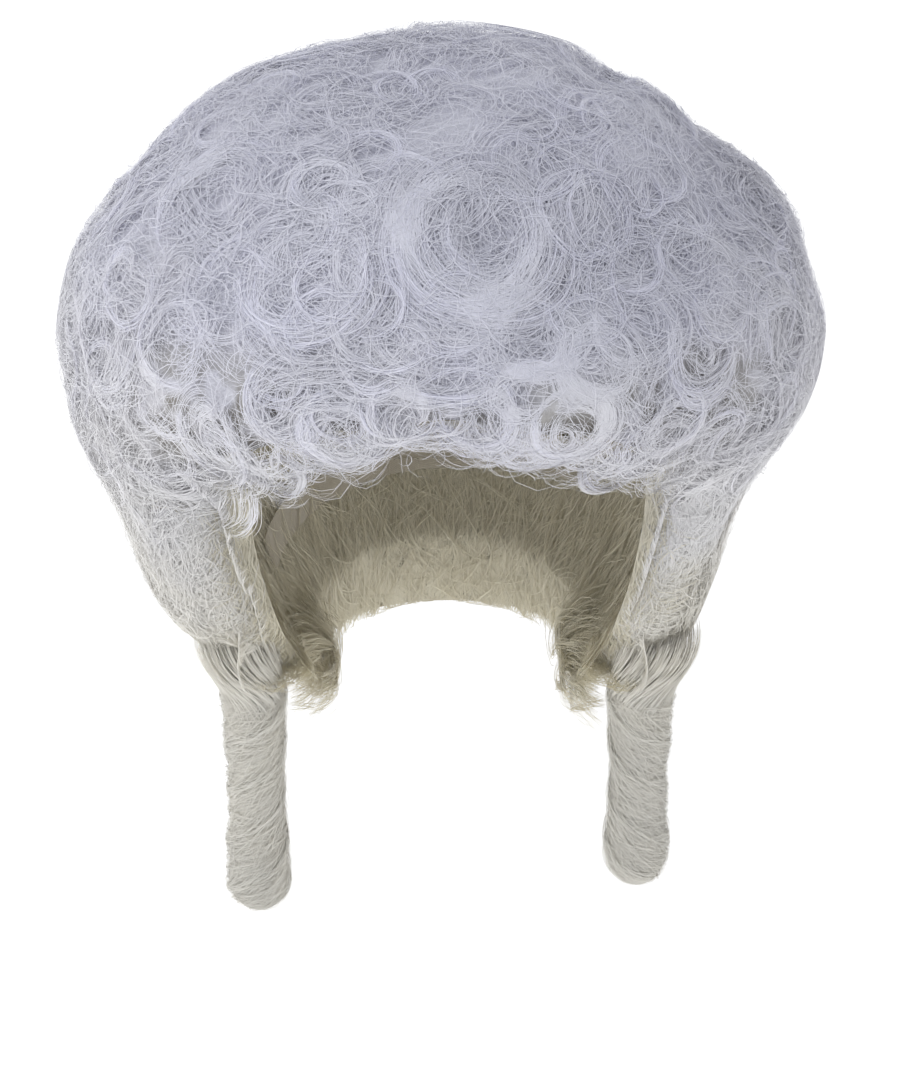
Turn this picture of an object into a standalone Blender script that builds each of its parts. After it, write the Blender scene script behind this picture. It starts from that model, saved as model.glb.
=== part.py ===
"""Curly costume wig on its inner cap, with a hanging ringlet at each temple.

The wig is modelled as worn: +Z is up, the face looks along -Y and +X is the wearer's left.
The origin is the centre of the head cavity, level with the eyebrows.

Everything is laid on one head form. A place on it is given by two angles:
  phi    turns round the upright axis from 0 at the face, through 90 at the wearer's left ear, to 180 at the back
  tilt   climbs from 0 at the brow line to 90 at the crown, and drops below 0 towards the neck
and by an offset, the distance outside the head.
"""

import math

import bmesh
import bpy
from mathutils import Matrix, Vector

MM = 0.001

# Head form: an ellipsoid above the brow line, drawn out below it towards a neck of this share of its width.
HEAD_HALF_WIDTH = 75 * MM
HEAD_HALF_DEPTH = 96 * MM
HEAD_CROWN = 100 * MM
NECK_DROP = 140 * MM
NECK_SHARE = 0.66

# Layers of the cap, from the head outwards: (inner face, outer face).
SLEEVE_LAYER = (0.1 * MM, 0.5 * MM)
STRAP_LAYER = (0.8 * MM, 1.4 * MM)
TAPE_LAYER = (1.7 * MM, 2.2 * MM)
CAP_LAYER = (3.3 * MM, 4.1 * MM)
WEFT_LAYER = (4.6 * MM, 5.4 * MM)
HAIR_START = 6.4 * MM

# Outer shape of the hair: its widest level and its half sizes there.
HAIR_LEVEL = 20 * MM
HAIR_SHIFT = 5 * MM
HAIR_HALF_WIDTH = 137 * MM
HAIR_HALF_DEPTH = 121 * MM
HAIR_RISE = 108 * MM
HAIR_DROP = 171 * MM
HAIR_TAPER_LENGTH = 75 * MM
HAIR_TAPER_END = 0.55

# Sections of hair. Angles are in degrees, and every section edge falls on a whole step.
STEP = 9
EDGE_GAP = 0.3
LEVEL_GAP = 0.6
CROWN_TILT = 52
FACE_EDGE = 54
HAIR_UNDER = 0.52

# Cap parts.
BAND_WIDTH = 12 * MM
NET_TILT = 43
RIBBON_WIDTH = 7 * MM
WEFT_HEIGHT = 3.2 * MM
WEFT_LEVELS = [z * MM for z in (80, 62, 42, 20, -5, -30, -55)]
EAR_TAB_SPAN = (70, 92)
EAR_TAB_TOP = 4 * MM
EAR_TAB_BOTTOM = -36 * MM

# Nape adjusters turn about an upright axis at the centre of the nape's curve.
NAPE_AXIS_Y = 28 * MM
STRAP_LEVEL = -66 * MM
STRAP_HEIGHT = 8 * MM
STRAP_ARC = (21, 56)
HOOK_ARC = (12, 20)
SLEEVE_ARC = (39, 45)
TAPE_ARC = (2, 36)

# Ringlets. The wearer's right one is longer.
RINGLET_X = 71 * MM
RINGLET_Y = -27 * MM
RINGLET_TOP = -114 * MM
RINGLET_RADIUS = 11.5 * MM
RINGLET_LOBE = 0.12
RINGLET_PITCH = 44 * MM
KNOT_RADIUS = 5.5 * MM
KNOT_GAP = 0.7 * MM
BEND_GAP = 1.6 * MM
RINGLET_LENGTHS = {"left": 86 * MM, "right": 98 * MM}

# Round curls that lie on the hair: name, phi, height, radius, thickness. The last three are in millimetres.
CURL_STRAND = 0.42
SURFACE_CURLS = [
    ("crown_curl_large", 9, 103, 29, 8),
    ("crown_curl_left", 38, 76, 19, 6),
    ("crown_curl_right", -30, 90, 22, 7),
    ("fringe_curl_center", 6, 49, 12, 5),
    ("fringe_curl_left", 22, 45, 13, 5),
    ("fringe_curl_right", -19, 46, 14, 5),
    ("temple_curl_left", 41, 37, 15, 5),
    ("temple_curl_right", -44, 33, 15, 5),
    ("side_curl_left", 68, 48, 20, 6),
    ("side_curl_right", -68, 46, 20, 6),
]

HAIR = ("wig_hair", (0.80, 0.80, 0.83), 0.7, 0.0)
NET = ("cap_net", (0.84, 0.82, 0.78), 0.8, 0.0)
BAND = ("cap_band", (0.80, 0.77, 0.72), 0.85, 0.0)
ELASTIC = ("elastic", (0.86, 0.84, 0.80), 0.75, 0.0)
WEFT = ("weft_stitching", (0.76, 0.75, 0.73), 0.8, 0.0)
PLASTIC = ("stay_plastic", (0.85, 0.87, 0.88), 0.35, 0.0)
STEEL = ("hook_steel", (0.62, 0.62, 0.64), 0.3, 1.0)

SIDES = {"left": 1, "right": -1}


# ---------------------------------------------------------------- the head form and the hair's outside


def head_tilt(height):
    """The tilt, in degrees, at which the head form has this height."""
    reach = HEAD_CROWN if height >= 0 else NECK_DROP
    return math.degrees(math.asin(height / reach))


def round_oval(phi, half_width, half_depth, shift, height):
    """The point at this angle on a level oval, whose centre is shifted back from the wig's upright axis."""
    sine, cosine = math.sin(math.radians(phi)), math.cos(math.radians(phi))
    a = (sine / half_width) ** 2 + (cosine / half_depth) ** 2
    b = shift * cosine / half_depth**2
    c = (shift / half_depth) ** 2 - 1
    distance = (math.sqrt(b * b - a * c) - b) / a
    return Vector((distance * sine, -distance * cosine, height))


def head_point(phi, tilt, offset):
    """A point this far outside the head form."""
    rise = math.radians(tilt)
    share = max(math.cos(rise), 1e-6 if tilt >= 0 else NECK_SHARE)
    reach = HEAD_CROWN if tilt >= 0 else NECK_DROP
    half_width, half_depth = (HEAD_HALF_WIDTH + offset) * share, (HEAD_HALF_DEPTH + offset) * share
    return round_oval(phi, half_width, half_depth, 0.0, (reach + offset) * math.sin(rise))


def hair_share(tilt):
    """The hair's half width at a tilt, as a share of its greatest."""
    if tilt >= 0:
        return math.cos(math.radians(tilt))
    drop = -HAIR_DROP * math.sin(math.radians(tilt))
    return HAIR_TAPER_END + (1 - HAIR_TAPER_END) / (1 + (drop / HAIR_TAPER_LENGTH) ** 2)


def hair_point(phi, tilt, proud=0.0):
    """A point on the outside of the hair, or this far proud of it."""
    share = max(hair_share(tilt), 1e-6)
    half_width, half_depth = (HAIR_HALF_WIDTH + proud) * share, (HAIR_HALF_DEPTH + proud) * share
    reach = HAIR_RISE + proud if tilt >= 0 else HAIR_DROP
    height = HAIR_LEVEL + reach * math.sin(math.radians(tilt))
    return round_oval(phi, half_width, half_depth, HAIR_SHIFT * share, height)


def hair_tilt(height):
    """The tilt at which the hair's outside has this height."""
    rise = height - HAIR_LEVEL
    return math.degrees(math.asin(rise / (HAIR_RISE if rise >= 0 else HAIR_DROP)))


def blend_of(stops, at):
    """Smooth value at a place between (place, value) stops."""
    if at <= stops[0][0]:
        return stops[0][1]
    for (a, low), (b, high) in zip(stops, stops[1:]):
        if at <= b:
            share = (at - a) / (b - a)
            share = share * share * (3 - 2 * share)
            return low + (high - low) * share
    return stops[-1][1]


def cap_edge(phi):
    """Height of the cap's lower edge: hairline, temple, ear and nape."""
    stops = [(0, 50), (28, 43), (52, 16), (70, 5), (104, 5), (124, -50), (142, -76), (180, -82)]
    return blend_of(stops, abs(phi)) * MM


def fringe_edge(phi):
    """Height of the lowest hair over the forehead."""
    return blend_of([(0, 36), (20, 28), (42, 8), (54, -12)], abs(phi)) * MM


def ends_edge(phi):
    """Height that the hair hangs to: level above the ringlets, and longer round the back."""
    stops = [(54, -106), (82, -106), (105, -118), (130, -134), (180, -138)]
    return blend_of(stops, min(phi, 360 - phi)) * MM


# ---------------------------------------------------------------- building tools


def material(spec):
    name, color, roughness, metallic = spec
    found = bpy.data.materials.get(name)
    if found:
        return found
    made = bpy.data.materials.new(name)
    made.use_nodes = True
    shader = made.node_tree.nodes["Principled BSDF"]
    shader.inputs["Base Color"].default_value = (*color, 1)
    shader.inputs["Roughness"].default_value = roughness
    shader.inputs["Metallic"].default_value = metallic
    return made


def finish(name, bm, spec):
    """Turns a bmesh into a named object in the wig's collection."""
    bmesh.ops.recalc_face_normals(bm, faces=bm.faces)
    if bm.calc_volume(signed=True) < 0:
        bmesh.ops.reverse_faces(bm, faces=bm.faces)
    mesh = bpy.data.meshes.new(name)
    bm.to_mesh(mesh)
    bm.free()
    mesh.shade_smooth()
    mesh.set_sharp_from_angle(angle=math.radians(50))
    mesh.materials.append(material(spec))
    obj = bpy.data.objects.new(name, mesh)
    bpy.data.collections["costume_wig"].objects.link(obj)
    return obj


def set_origin(obj, point):
    """Moves an object's origin to its joint, leaving its shape where it is."""
    obj.data.transform(Matrix.Translation(obj.location - point))
    obj.location = point


def slab(name, across, up, place, spec):
    """A closed slab: a grid with an inner and an outer sheet, each vertex put at place(u, v, w).

    u and v run from 0 to 1 over the grid, and w is 0 on the inner sheet and 1 on the outer one.
    """
    bm = bmesh.new()
    bmesh.ops.create_grid(bm, x_segments=across, y_segments=up, size=0.5)
    raised = bmesh.ops.extrude_face_region(bm, geom=bm.faces[:])["geom"]
    outer = {v for v in raised if isinstance(v, bmesh.types.BMVert)}
    for vert in bm.verts:
        vert.co = place(vert.co.x + 0.5, vert.co.y + 0.5, 1 if vert in outer else 0)
    return finish(name, bm, spec)


def dome(name, rings, place, spec):
    """A closed cap over the crown: a sphere whose upper half becomes the outside and lower half the inside.

    Each vertex is put at place(phi, v, w), where v runs from 0 at the crown to 1 at the rim.
    """
    bm = bmesh.new()
    rows = 2 * rings + 1
    bmesh.ops.create_uvsphere(bm, u_segments=360 // STEP, v_segments=rows, radius=1)
    rim = 90 - 180 / rows * rings
    for vert in bm.verts:
        latitude = math.degrees(math.asin(max(-1, min(1, vert.co.z))))
        phi = math.degrees(math.atan2(vert.co.x, -vert.co.y))
        v = (90 - abs(latitude)) / (90 - rim)
        vert.co = place(phi, v, 1 if latitude > 0 else 0)
    return finish(name, bm, spec)


def strip(name, count, path, spec, layer):
    """A flat strip on the head form. path(s) gives (phi, tilt of its lower edge, tilt of its upper edge)."""

    def place(u, v, w):
        phi, low, high = path(u)
        return head_point(phi, low + (high - low) * v, layer[w])

    return slab(name, count, 2, place, spec)


# ---------------------------------------------------------------- hair


def section(name, phi_low, phi_high, bottom, top, tuck=0.0, rows=6):
    """One section of hair between two angles. bottom(phi) and top(phi) give (inner tilt, outer tilt).

    tuck draws the outer sheet in at the bottom edge, as hair curls under.
    """

    def place(u, v, w):
        phi = phi_low + EDGE_GAP + (phi_high - phi_low - 2 * EDGE_GAP) * u
        inner_low, outer_low = bottom(phi)
        inner_high, outer_high = top(phi)
        if w == 0:
            return head_point(phi, inner_low + (inner_high - inner_low) * v, HAIR_START)
        tilt = outer_low + (outer_high - outer_low) * v
        drawn_in = tuck * max(0.0, 1 - v / 0.4) ** 2
        inside = head_point(phi, max(tilt, inner_low), HAIR_START)
        return hair_point(phi, tilt).lerp(inside, drawn_in)

    steps = round((phi_high - phi_low) / STEP)
    return slab(name, steps, rows, place, HAIR)


def build_hair_mass():
    """The wig's hair, in the sections that its wefts are sewn in."""
    rim = CROWN_TILT + LEVEL_GAP

    def crown(phi, v, w):
        tilt = 90 - (90 - rim) * v
        return hair_point(phi, tilt) if w else head_point(phi, tilt, HAIR_START)

    dome("crown_hair", 5, crown, HAIR)

    def under_crown(phi):
        return (CROWN_TILT - LEVEL_GAP,) * 2

    def hairline(phi):
        return head_tilt(cap_edge(phi)), hair_tilt(fringe_edge(phi))

    def above_middle(phi):
        return (LEVEL_GAP,) * 2

    def below_middle(phi):
        return (-LEVEL_GAP,) * 2

    def ends(phi):
        height = ends_edge(abs(phi))
        return head_tilt(height), hair_tilt(height)

    section("front_center_hair", -18, 18, hairline, under_crown, tuck=HAIR_UNDER)
    section("upper_back_hair", 144, 216, above_middle, under_crown)
    section("nape_hair", 144, 216, ends, below_middle, HAIR_UNDER, 10)
    # Hair in mirrored pairs: name, from, to, bottom edge, top edge, tuck, rows.
    pairs = [
        ("front_hair", 18, FACE_EDGE, hairline, under_crown, HAIR_UNDER, 6),
        ("upper_side_hair", FACE_EDGE, 99, above_middle, under_crown, 0, 6),
        ("upper_back_side_hair", 99, 144, above_middle, under_crown, 0, 6),
        ("temple_lock", FACE_EDGE, 72, ends, below_middle, HAIR_UNDER / 3, 8),
        ("lower_side_hair", 72, 99, ends, below_middle, HAIR_UNDER / 3, 8),
        ("lower_back_side_hair", 99, 144, ends, below_middle, HAIR_UNDER, 10),
    ]
    for name, low, high, bottom, top, tuck, rows in pairs:
        section(name + "_left", low, high, bottom, top, tuck, rows)
        section(name + "_right", -high, -low, bottom, top, tuck, rows)


def build_surface_curls():
    """Round curls, each a thick ring with a small eye, laid on the hair's outside and following it."""
    lift = 0.6 * MM
    for name, phi, height, radius, thickness in SURFACE_CURLS:
        center_tilt = hair_tilt(height * MM)
        middle = hair_point(phi, center_tilt)
        per_phi = (hair_point(phi + 1, center_tilt) - middle).length
        per_tilt = (hair_point(phi, center_tilt + 1) - middle).length
        strand = CURL_STRAND * radius
        bpy.ops.mesh.primitive_torus_add(
            major_segments=20, minor_segments=8, major_radius=radius - strand, minor_radius=strand
        )
        ring = bpy.context.object
        bm = bmesh.new()
        bm.from_mesh(ring.data)
        bpy.data.objects.remove(ring)
        for vert in bm.verts:
            across, up, out = vert.co.x * MM, vert.co.y * MM, vert.co.z / strand
            proud = lift + (out + 1) / 2 * thickness * MM
            vert.co = hair_point(phi + across / per_phi, center_tilt + up / per_tilt, proud)
        finish(name, bm, HAIR)


# ---------------------------------------------------------------- ringlets


def curled_lock(name, top, length, shares, phase):
    """A hanging length of curled hair: rounded ends and two lobes that wind down it.

    shares are its thickness at the top and at the bottom, and phase is how far the lobes have turned above it.
    """
    bm = bmesh.new()
    bmesh.ops.create_uvsphere(bm, u_segments=18, v_segments=16, radius=1)
    for vert in bm.verts:
        down = (1 - vert.co.z) / 2
        turn = math.atan2(vert.co.y, vert.co.x)
        fullness = math.hypot(vert.co.x, vert.co.y) ** 0.75
        lobe = 1 + RINGLET_LOBE * math.cos(2 * (turn - math.tau * (down * length + phase) / RINGLET_PITCH))
        radius = RINGLET_RADIUS * fullness * lobe * (shares[0] + (shares[1] - shares[0]) * down)
        vert.co = top + Vector((radius * math.cos(turn), radius * math.sin(turn), -length * down))
    return finish(name, bm, HAIR)


def build_ringlet(side, sign):
    """A hanging ringlet: the wrapped knot it swings from, and the two halves that it bends between."""
    pivot = Vector((sign * RINGLET_X, RINGLET_Y, RINGLET_TOP))
    bm = bmesh.new()
    bmesh.ops.create_uvsphere(bm, u_segments=14, v_segments=9, radius=KNOT_RADIUS)
    bmesh.ops.translate(bm, vec=pivot, verts=bm.verts)
    knot = finish(f"{side}_ringlet_knot", bm, WEFT)

    neck = KNOT_RADIUS + KNOT_GAP
    half = (RINGLET_LENGTHS[side] - neck - BEND_GAP) / 2
    top = pivot - Vector((0, 0, neck))
    bend = top - Vector((0, 0, half + BEND_GAP / 2))
    upper = curled_lock(f"{side}_ringlet_upper", top, half, (0.9, 1.0), 0)
    lower_top = bend - Vector((0, 0, BEND_GAP / 2))
    lower = curled_lock(f"{side}_ringlet_lower", lower_top, half, (1.0, 0.84), half + BEND_GAP)
    set_origin(knot, pivot)
    set_origin(upper, pivot)
    set_origin(lower, bend)


# ---------------------------------------------------------------- the cap


def build_net():
    def place(phi, v, w):
        return head_point(phi, 90 - (90 - NET_TILT) * v, CAP_LAYER[w])

    dome("crown_net", 4, place, NET)


def band_path(start, end, lift=0.0):
    """A band along the cap's edge between two angles."""

    def path(s):
        phi = start + (end - start) * s
        low = cap_edge(phi) + lift
        return phi, head_tilt(low), head_tilt(low + BAND_WIDTH)

    return path


def build_bands():
    lowest = EAR_TAB_SPAN[1] + 6
    strip("front_band", 24, band_path(-lowest, lowest), BAND, CAP_LAYER)
    strip("nape_band", 20, band_path(lowest + 1, 359 - lowest), BAND, CAP_LAYER)


def build_ribbons():
    """Ribbons from the crown net down to the bands, which the wefts are sewn to."""
    places = [("side_ribbon", 62), ("back_ribbon", 124)]
    spots = [(f"{side}_{name}", sign * phi) for name, phi in places for side, sign in SIDES.items()]
    for name, phi in [*spots, ("center_back_ribbon", 180)]:
        half = math.degrees(RIBBON_WIDTH / 2 / HEAD_HALF_DEPTH)

        def place(u, v, w, phi=phi, half=half):
            across = phi + half * (2 * u - 1)
            bottom = head_tilt(cap_edge(across) + BAND_WIDTH) + 1.8
            return head_point(across, bottom + (NET_TILT - 0.6 - bottom) * v, CAP_LAYER[w])

        slab(name, 2, 7, place, ELASTIC)


def weft_start(height):
    """The angle from the face at which a weft row at this height begins."""
    for phi in range(0, 180, 2):
        if cap_edge(phi) + 3 * MM < height:
            return phi
    return 180


def build_wefts():
    """Rows of sewn hair track round the cap, from the crown down to the nape."""
    for number, height in enumerate(WEFT_LEVELS, 1):
        start = weft_start(height)
        low = head_tilt(height - WEFT_HEIGHT / 2)
        high = head_tilt(height + WEFT_HEIGHT / 2)
        start = max(start, 0.8)
        path = lambda s, start=start, low=low, high=high: (start + (360 - 2 * start) * s, low, high)
        steps = round((360 - 2 * start) / STEP)
        strip(f"weft_track_{number}", steps, path, WEFT, WEFT_LAYER)


def build_ear_tab(side, sign):
    """The tab in front of the ear and the bendable stay sewn on its outside."""
    start, end = EAR_TAB_SPAN
    top = head_tilt(EAR_TAB_TOP - 1.0 * MM)
    bottom = head_tilt(EAR_TAB_BOTTOM)
    middle = (start + end) / 2

    def tab(u, v, w):
        narrow = math.sqrt(max(0.0, 1 - (1 - min(1, v / 0.45)) ** 2)) * 0.75 + 0.25
        phi = middle + (end - start) / 2 * narrow * (2 * u - 1)
        return head_point(sign * phi, bottom + (top - bottom) * v, CAP_LAYER[w])

    pivot = head_point(sign * middle, head_tilt(EAR_TAB_TOP), sum(CAP_LAYER) / 2)
    set_origin(slab(f"{side}_ear_tab", 4, 6, tab, BAND), pivot)

    def stay(u, v, w):
        phi = middle + 1.6 * (2 * u - 1)
        low, high = bottom + 2, top - 1.5
        return head_point(sign * phi, low + (high - low) * v, WEFT_LAYER[w])

    set_origin(slab(f"{side}_tab_stay", 1, 5, stay, PLASTIC), pivot)


def nape_point(angle, height, offset):
    """A point on the nape's curve, which turns about the adjusters' axis. angle is from the centre back."""
    fall = math.sqrt(1 - (height / NECK_DROP) ** 2)
    radius = HEAD_HALF_DEPTH * fall - NAPE_AXIS_Y + offset
    turn = math.radians(angle)
    return Vector((radius * math.sin(turn), NAPE_AXIS_Y + radius * math.cos(turn), height))


def nape_slab(name, arc, height, layer, spec, steps, sign, level=STRAP_LEVEL):
    """A flat strip on the nape's curve between two angles."""

    def place(u, v, w):
        angle = sign * (arc[0] + (arc[1] - arc[0]) * u)
        return nape_point(angle, level + height * (v - 0.5), layer[w])

    return slab(name, steps, 1, place, spec)


def build_adjuster(side, sign):
    """One nape adjuster: elastic strap with its hook, the sleeve it runs in and the tape of hook loops."""
    pivot = Vector((0, NAPE_AXIS_Y, STRAP_LEVEL))
    strap = nape_slab(f"{side}_adjuster_strap", STRAP_ARC, STRAP_HEIGHT, STRAP_LAYER, ELASTIC, 6, sign)
    set_origin(strap, pivot)
    nape_slab(f"{side}_loop_tape", TAPE_ARC, STRAP_HEIGHT, TAPE_LAYER, ELASTIC, 5, sign)

    def hook(u, v, w):
        angle = sign * (HOOK_ARC[0] + (HOOK_ARC[1] - HOOK_ARC[0]) * u)
        half = 1.2 * MM + (2.2 * MM) * u
        return nape_point(angle, STRAP_LEVEL + half * (2 * v - 1), STRAP_LAYER[w])

    set_origin(slab(f"{side}_adjuster_hook", 2, 2, hook, STEEL), pivot)

    def sleeve(u, v, w):
        angle = sign * (SLEEVE_ARC[0] + (SLEEVE_ARC[1] - SLEEVE_ARC[0]) * u)
        reach = abs(2 * v - 1)
        legs = max(0.0, (reach - 0.75) / 0.25)
        offset = SLEEVE_LAYER[w] + 1.6 * MM * legs
        return nape_point(angle, STRAP_LEVEL + (STRAP_HEIGHT / 2 + 3 * MM) * (2 * v - 1), offset)

    slab(f"{side}_strap_sleeve", 2, 8, sleeve, ELASTIC)


def build_cap():
    build_net()
    build_bands()
    build_ribbons()
    build_wefts()
    for side, sign in SIDES.items():
        build_ear_tab(side, sign)
        build_adjuster(side, sign)


def main():
    for obj in list(bpy.data.objects):
        bpy.data.objects.remove(obj)
    collection = bpy.data.collections.new("costume_wig")
    bpy.context.scene.collection.children.link(collection)
    build_cap()
    build_hair_mass()
    build_surface_curls()
    for side, sign in SIDES.items():
        build_ringlet(side, sign)


main()
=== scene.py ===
"""The look of the curly costume wig: its hair, strand by strand, and the sewn cap inside it.

Lengths are in millimetres until a mesh is made. Hair lies on a few surfaces, each a function that takes
rough points to points on the surface and the outward directions there. phi turns round the head from the
face (0) through the wearer's left (90) to the back (180).
"""

import math

import bpy
import numpy as np
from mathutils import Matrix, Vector


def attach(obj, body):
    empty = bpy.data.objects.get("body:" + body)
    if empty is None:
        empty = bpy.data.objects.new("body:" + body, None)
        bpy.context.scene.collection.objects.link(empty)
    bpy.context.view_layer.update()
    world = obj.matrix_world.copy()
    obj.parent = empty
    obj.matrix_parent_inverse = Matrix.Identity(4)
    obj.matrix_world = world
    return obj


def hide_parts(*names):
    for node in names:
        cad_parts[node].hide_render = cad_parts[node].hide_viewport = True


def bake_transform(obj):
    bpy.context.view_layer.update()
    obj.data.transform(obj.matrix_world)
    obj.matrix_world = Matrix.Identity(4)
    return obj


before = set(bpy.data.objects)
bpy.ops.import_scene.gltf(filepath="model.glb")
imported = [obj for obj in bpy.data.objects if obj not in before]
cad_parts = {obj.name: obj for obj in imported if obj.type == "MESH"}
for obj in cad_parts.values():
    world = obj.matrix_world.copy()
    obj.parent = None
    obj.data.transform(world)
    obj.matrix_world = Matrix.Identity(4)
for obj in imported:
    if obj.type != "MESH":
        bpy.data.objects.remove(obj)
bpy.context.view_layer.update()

MM = 0.001

# The head form and the hair's outer shape, as in the CAD.
HEAD_WIDTH, HEAD_DEPTH, HEAD_CROWN = 75.0, 96.0, 100.0
NECK_DROP, NECK_SHARE = 140.0, 0.66
HAIR_START = 6.4
LEVEL, SHIFT = 20.0, 5.0
HALF_WIDTH, HALF_DEPTH, RISE, DROP = 137.0, 121.0, 108.0, 171.0
TAPER_LENGTH, TAPER_END = 75.0, 0.55
CROWN_TILT, FACE_EDGE, HAIR_UNDER = 52.0, 54.0, 0.52
SIDES = {"left": 1, "right": -1}

# The rounded edge that the side hair has beside the face: how far round it goes, and how deep.
ROUND_TURN, ROUND_DEPTH = 17.0, 0.62

# How far the soft mass lies below the outermost hairs, and the half widths of hairs.
UNDER_DEPTH = 2.6
WISPY, FINE, STURDY, COARSE = 0.08, 0.10, 0.11, 0.12

# The height in the relief at which hair lies on its plain surface, and the (center, radius, strength) of
# every curl in it, filled in by place_curls.
RELIEF_LEVEL = 2.2
CURL_RELIEF = []

# Ringlets: the pivot that each hangs from, its length below it, and the length in which it turns once.
PIVOT = {"left": (71.0, -27.0, -114.0), "right": (-71.0, -27.0, -114.0)}
RINGLET_LENGTH = {"left": 86.0, "right": 98.0}
RINGLET_RADIUS = 13.3
RINGLET_PITCH = 44.0
RINGLET_LEAN = 1.02


# ---------------------------------------------------------------- heights and outlines


def smooth_steps(stops, at):
    """Smooth values between (place, value) stops."""
    places, values = np.array(stops, float).T
    at = np.clip(at, places[0], places[-1])
    i = np.clip(np.searchsorted(places, at, side="right") - 1, 0, len(places) - 2)
    share = (at - places[i]) / (places[i + 1] - places[i])
    share = share * share * (3 - 2 * share)
    return values[i] + (values[i + 1] - values[i]) * share


def cap_edge(phi):
    stops = [(0, 50), (28, 43), (52, 16), (70, 5), (104, 5), (124, -50), (142, -76), (180, -82)]
    return smooth_steps(stops, np.abs(phi))


def fringe_edge(phi):
    return smooth_steps([(0, 36), (20, 28), (42, 8), (54, -12)], np.abs(phi))


def ends_edge(phi):
    stops = [(54, -106), (82, -106), (105, -118), (130, -134), (180, -138)]
    return smooth_steps(stops, np.abs(phi))


def lower_edge(phi):
    """Height of the hair's lowest edge: the fringe over the face, and the ends elsewhere."""
    return np.where(np.abs(phi) < FACE_EDGE, fringe_edge(phi), ends_edge(phi))


def angle_of(p):
    """phi of each point, from -180 to 180."""
    return np.degrees(np.arctan2(p[..., 0], -p[..., 1]))


def oval_reach(phi, width, depth, middle):
    """Distance from the wig's upright axis to a level oval, in the direction phi."""
    s, c = np.sin(np.radians(phi)), np.cos(np.radians(phi))
    qa = (s / width) ** 2 + (c / depth) ** 2
    qb = middle * c / depth**2
    qc = (middle / depth) ** 2 - 1
    return (np.sqrt(np.maximum(qb * qb - qa * qc, 0)) - qb) / qa


def taper(z):
    """The hair's half width below its widest level, as a share of the greatest, and its slope."""
    drop = np.maximum(LEVEL - z, 0.0) / TAPER_LENGTH
    share = TAPER_END + (1 - TAPER_END) / (1 + drop**2)
    change = (1 - TAPER_END) * 2 * drop / TAPER_LENGTH / (1 + drop**2) ** 2
    return share, change


def hair_reach(phi, z):
    """Distance from the upright axis to the hair's outside."""
    rise = np.clip((z - LEVEL) / RISE, 0, 0.9999)
    share = np.where(z >= LEVEL, np.sqrt(1 - rise**2), taper(z)[0])
    return oval_reach(phi, HALF_WIDTH * share, HALF_DEPTH * share, SHIFT * share)


def head_reach(phi, z, offset=HAIR_START):
    """Distance from the upright axis to the hair's inside."""
    up = z >= 0
    reach = np.where(up, HEAD_CROWN + offset, NECK_DROP)
    share = np.sqrt(np.clip(1 - (z / reach) ** 2, 1e-4, 1))
    share = np.where(up, share, np.maximum(share, NECK_SHARE))
    return oval_reach(phi, (HEAD_WIDTH + offset) * share, (HEAD_DEPTH + offset) * share, 0.0)


def wrapped(phi):
    """Angles from 0 to 360 as angles from -180 to 180."""
    return np.where(phi > 180, phi - 360, phi)


def level_point(phi, reach, z):
    phi = np.radians(phi)
    return np.stack([reach * np.sin(phi), -reach * np.cos(phi), z + 0 * reach], axis=-1)


# ---------------------------------------------------------------- surfaces that hair lies on


def swells(p):
    """Soft swellings of the hair, in mm."""
    total = np.zeros(p.shape[:-1])
    waves = [
        ((0.052, 0.031, 0.043), 0.3, 1.4),
        ((-0.043, 0.066, 0.027), 1.9, 1.1),
        ((0.087, -0.035, -0.083), 4.1, 1.0),
        ((0.031, 0.112, -0.074), 2.6, 0.7),
        ((-0.131, 0.052, 0.103), 5.2, 0.6),
        ((0.162, 0.133, 0.061), 0.9, 0.4),
    ]
    for direction, phase, height in waves:
        total += height * np.sin(p @ np.array(direction) + phase)
    return total


def lumps(p):
    """The hair's relief in mm: soft swellings, and a ring with a hollow at its middle for each curl."""
    total = swells(p)
    for center, radius, strength in CURL_RELIEF:
        away = np.linalg.norm(p - center, axis=-1) / radius
        near = away < 2
        away = away[near]
        ring, hollow = np.exp(-(((away - 0.78) / 0.26) ** 2)), np.exp(-((away / 0.3) ** 2))
        total[near] += strength * (1.7 * ring - 0.5 * hollow)
    return total


def drape(p):
    """Moves points onto the hair's plain outer shape. Returns them and the outward normals there."""
    x, y, z = p[..., 0], p[..., 1], p[..., 2]
    above = z >= LEVEL
    rise = np.clip((z - LEVEL) / RISE, 0, 0.9999)
    share, change = taper(z)
    share = np.where(above, np.sqrt(1 - rise**2), share)
    middle = SHIFT * share
    upper = np.sqrt((x / HALF_WIDTH) ** 2 + ((y - middle) / HALF_DEPTH) ** 2 + ((z - LEVEL) / RISE) ** 2)
    lower = np.sqrt((x / HALF_WIDTH) ** 2 + ((y - middle) / HALF_DEPTH) ** 2) / share
    f = np.maximum(np.where(above, upper, lower), 1e-6)
    level = np.where(above, LEVEL + (z - LEVEL) / f, z)
    on = np.stack([x / f, middle + (y - middle) / f, level], axis=-1)
    nx, ny = on[..., 0] / HALF_WIDTH**2, (on[..., 1] - middle) / HALF_DEPTH**2
    radius = np.hypot(on[..., 0], on[..., 1] - middle)
    nz = np.where(above, (on[..., 2] - LEVEL) / RISE**2, -change * radius / share * np.hypot(nx, ny))
    normal = np.stack([nx, ny, nz], axis=-1)
    return on, normal / np.linalg.norm(normal, axis=-1, keepdims=True)


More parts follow.
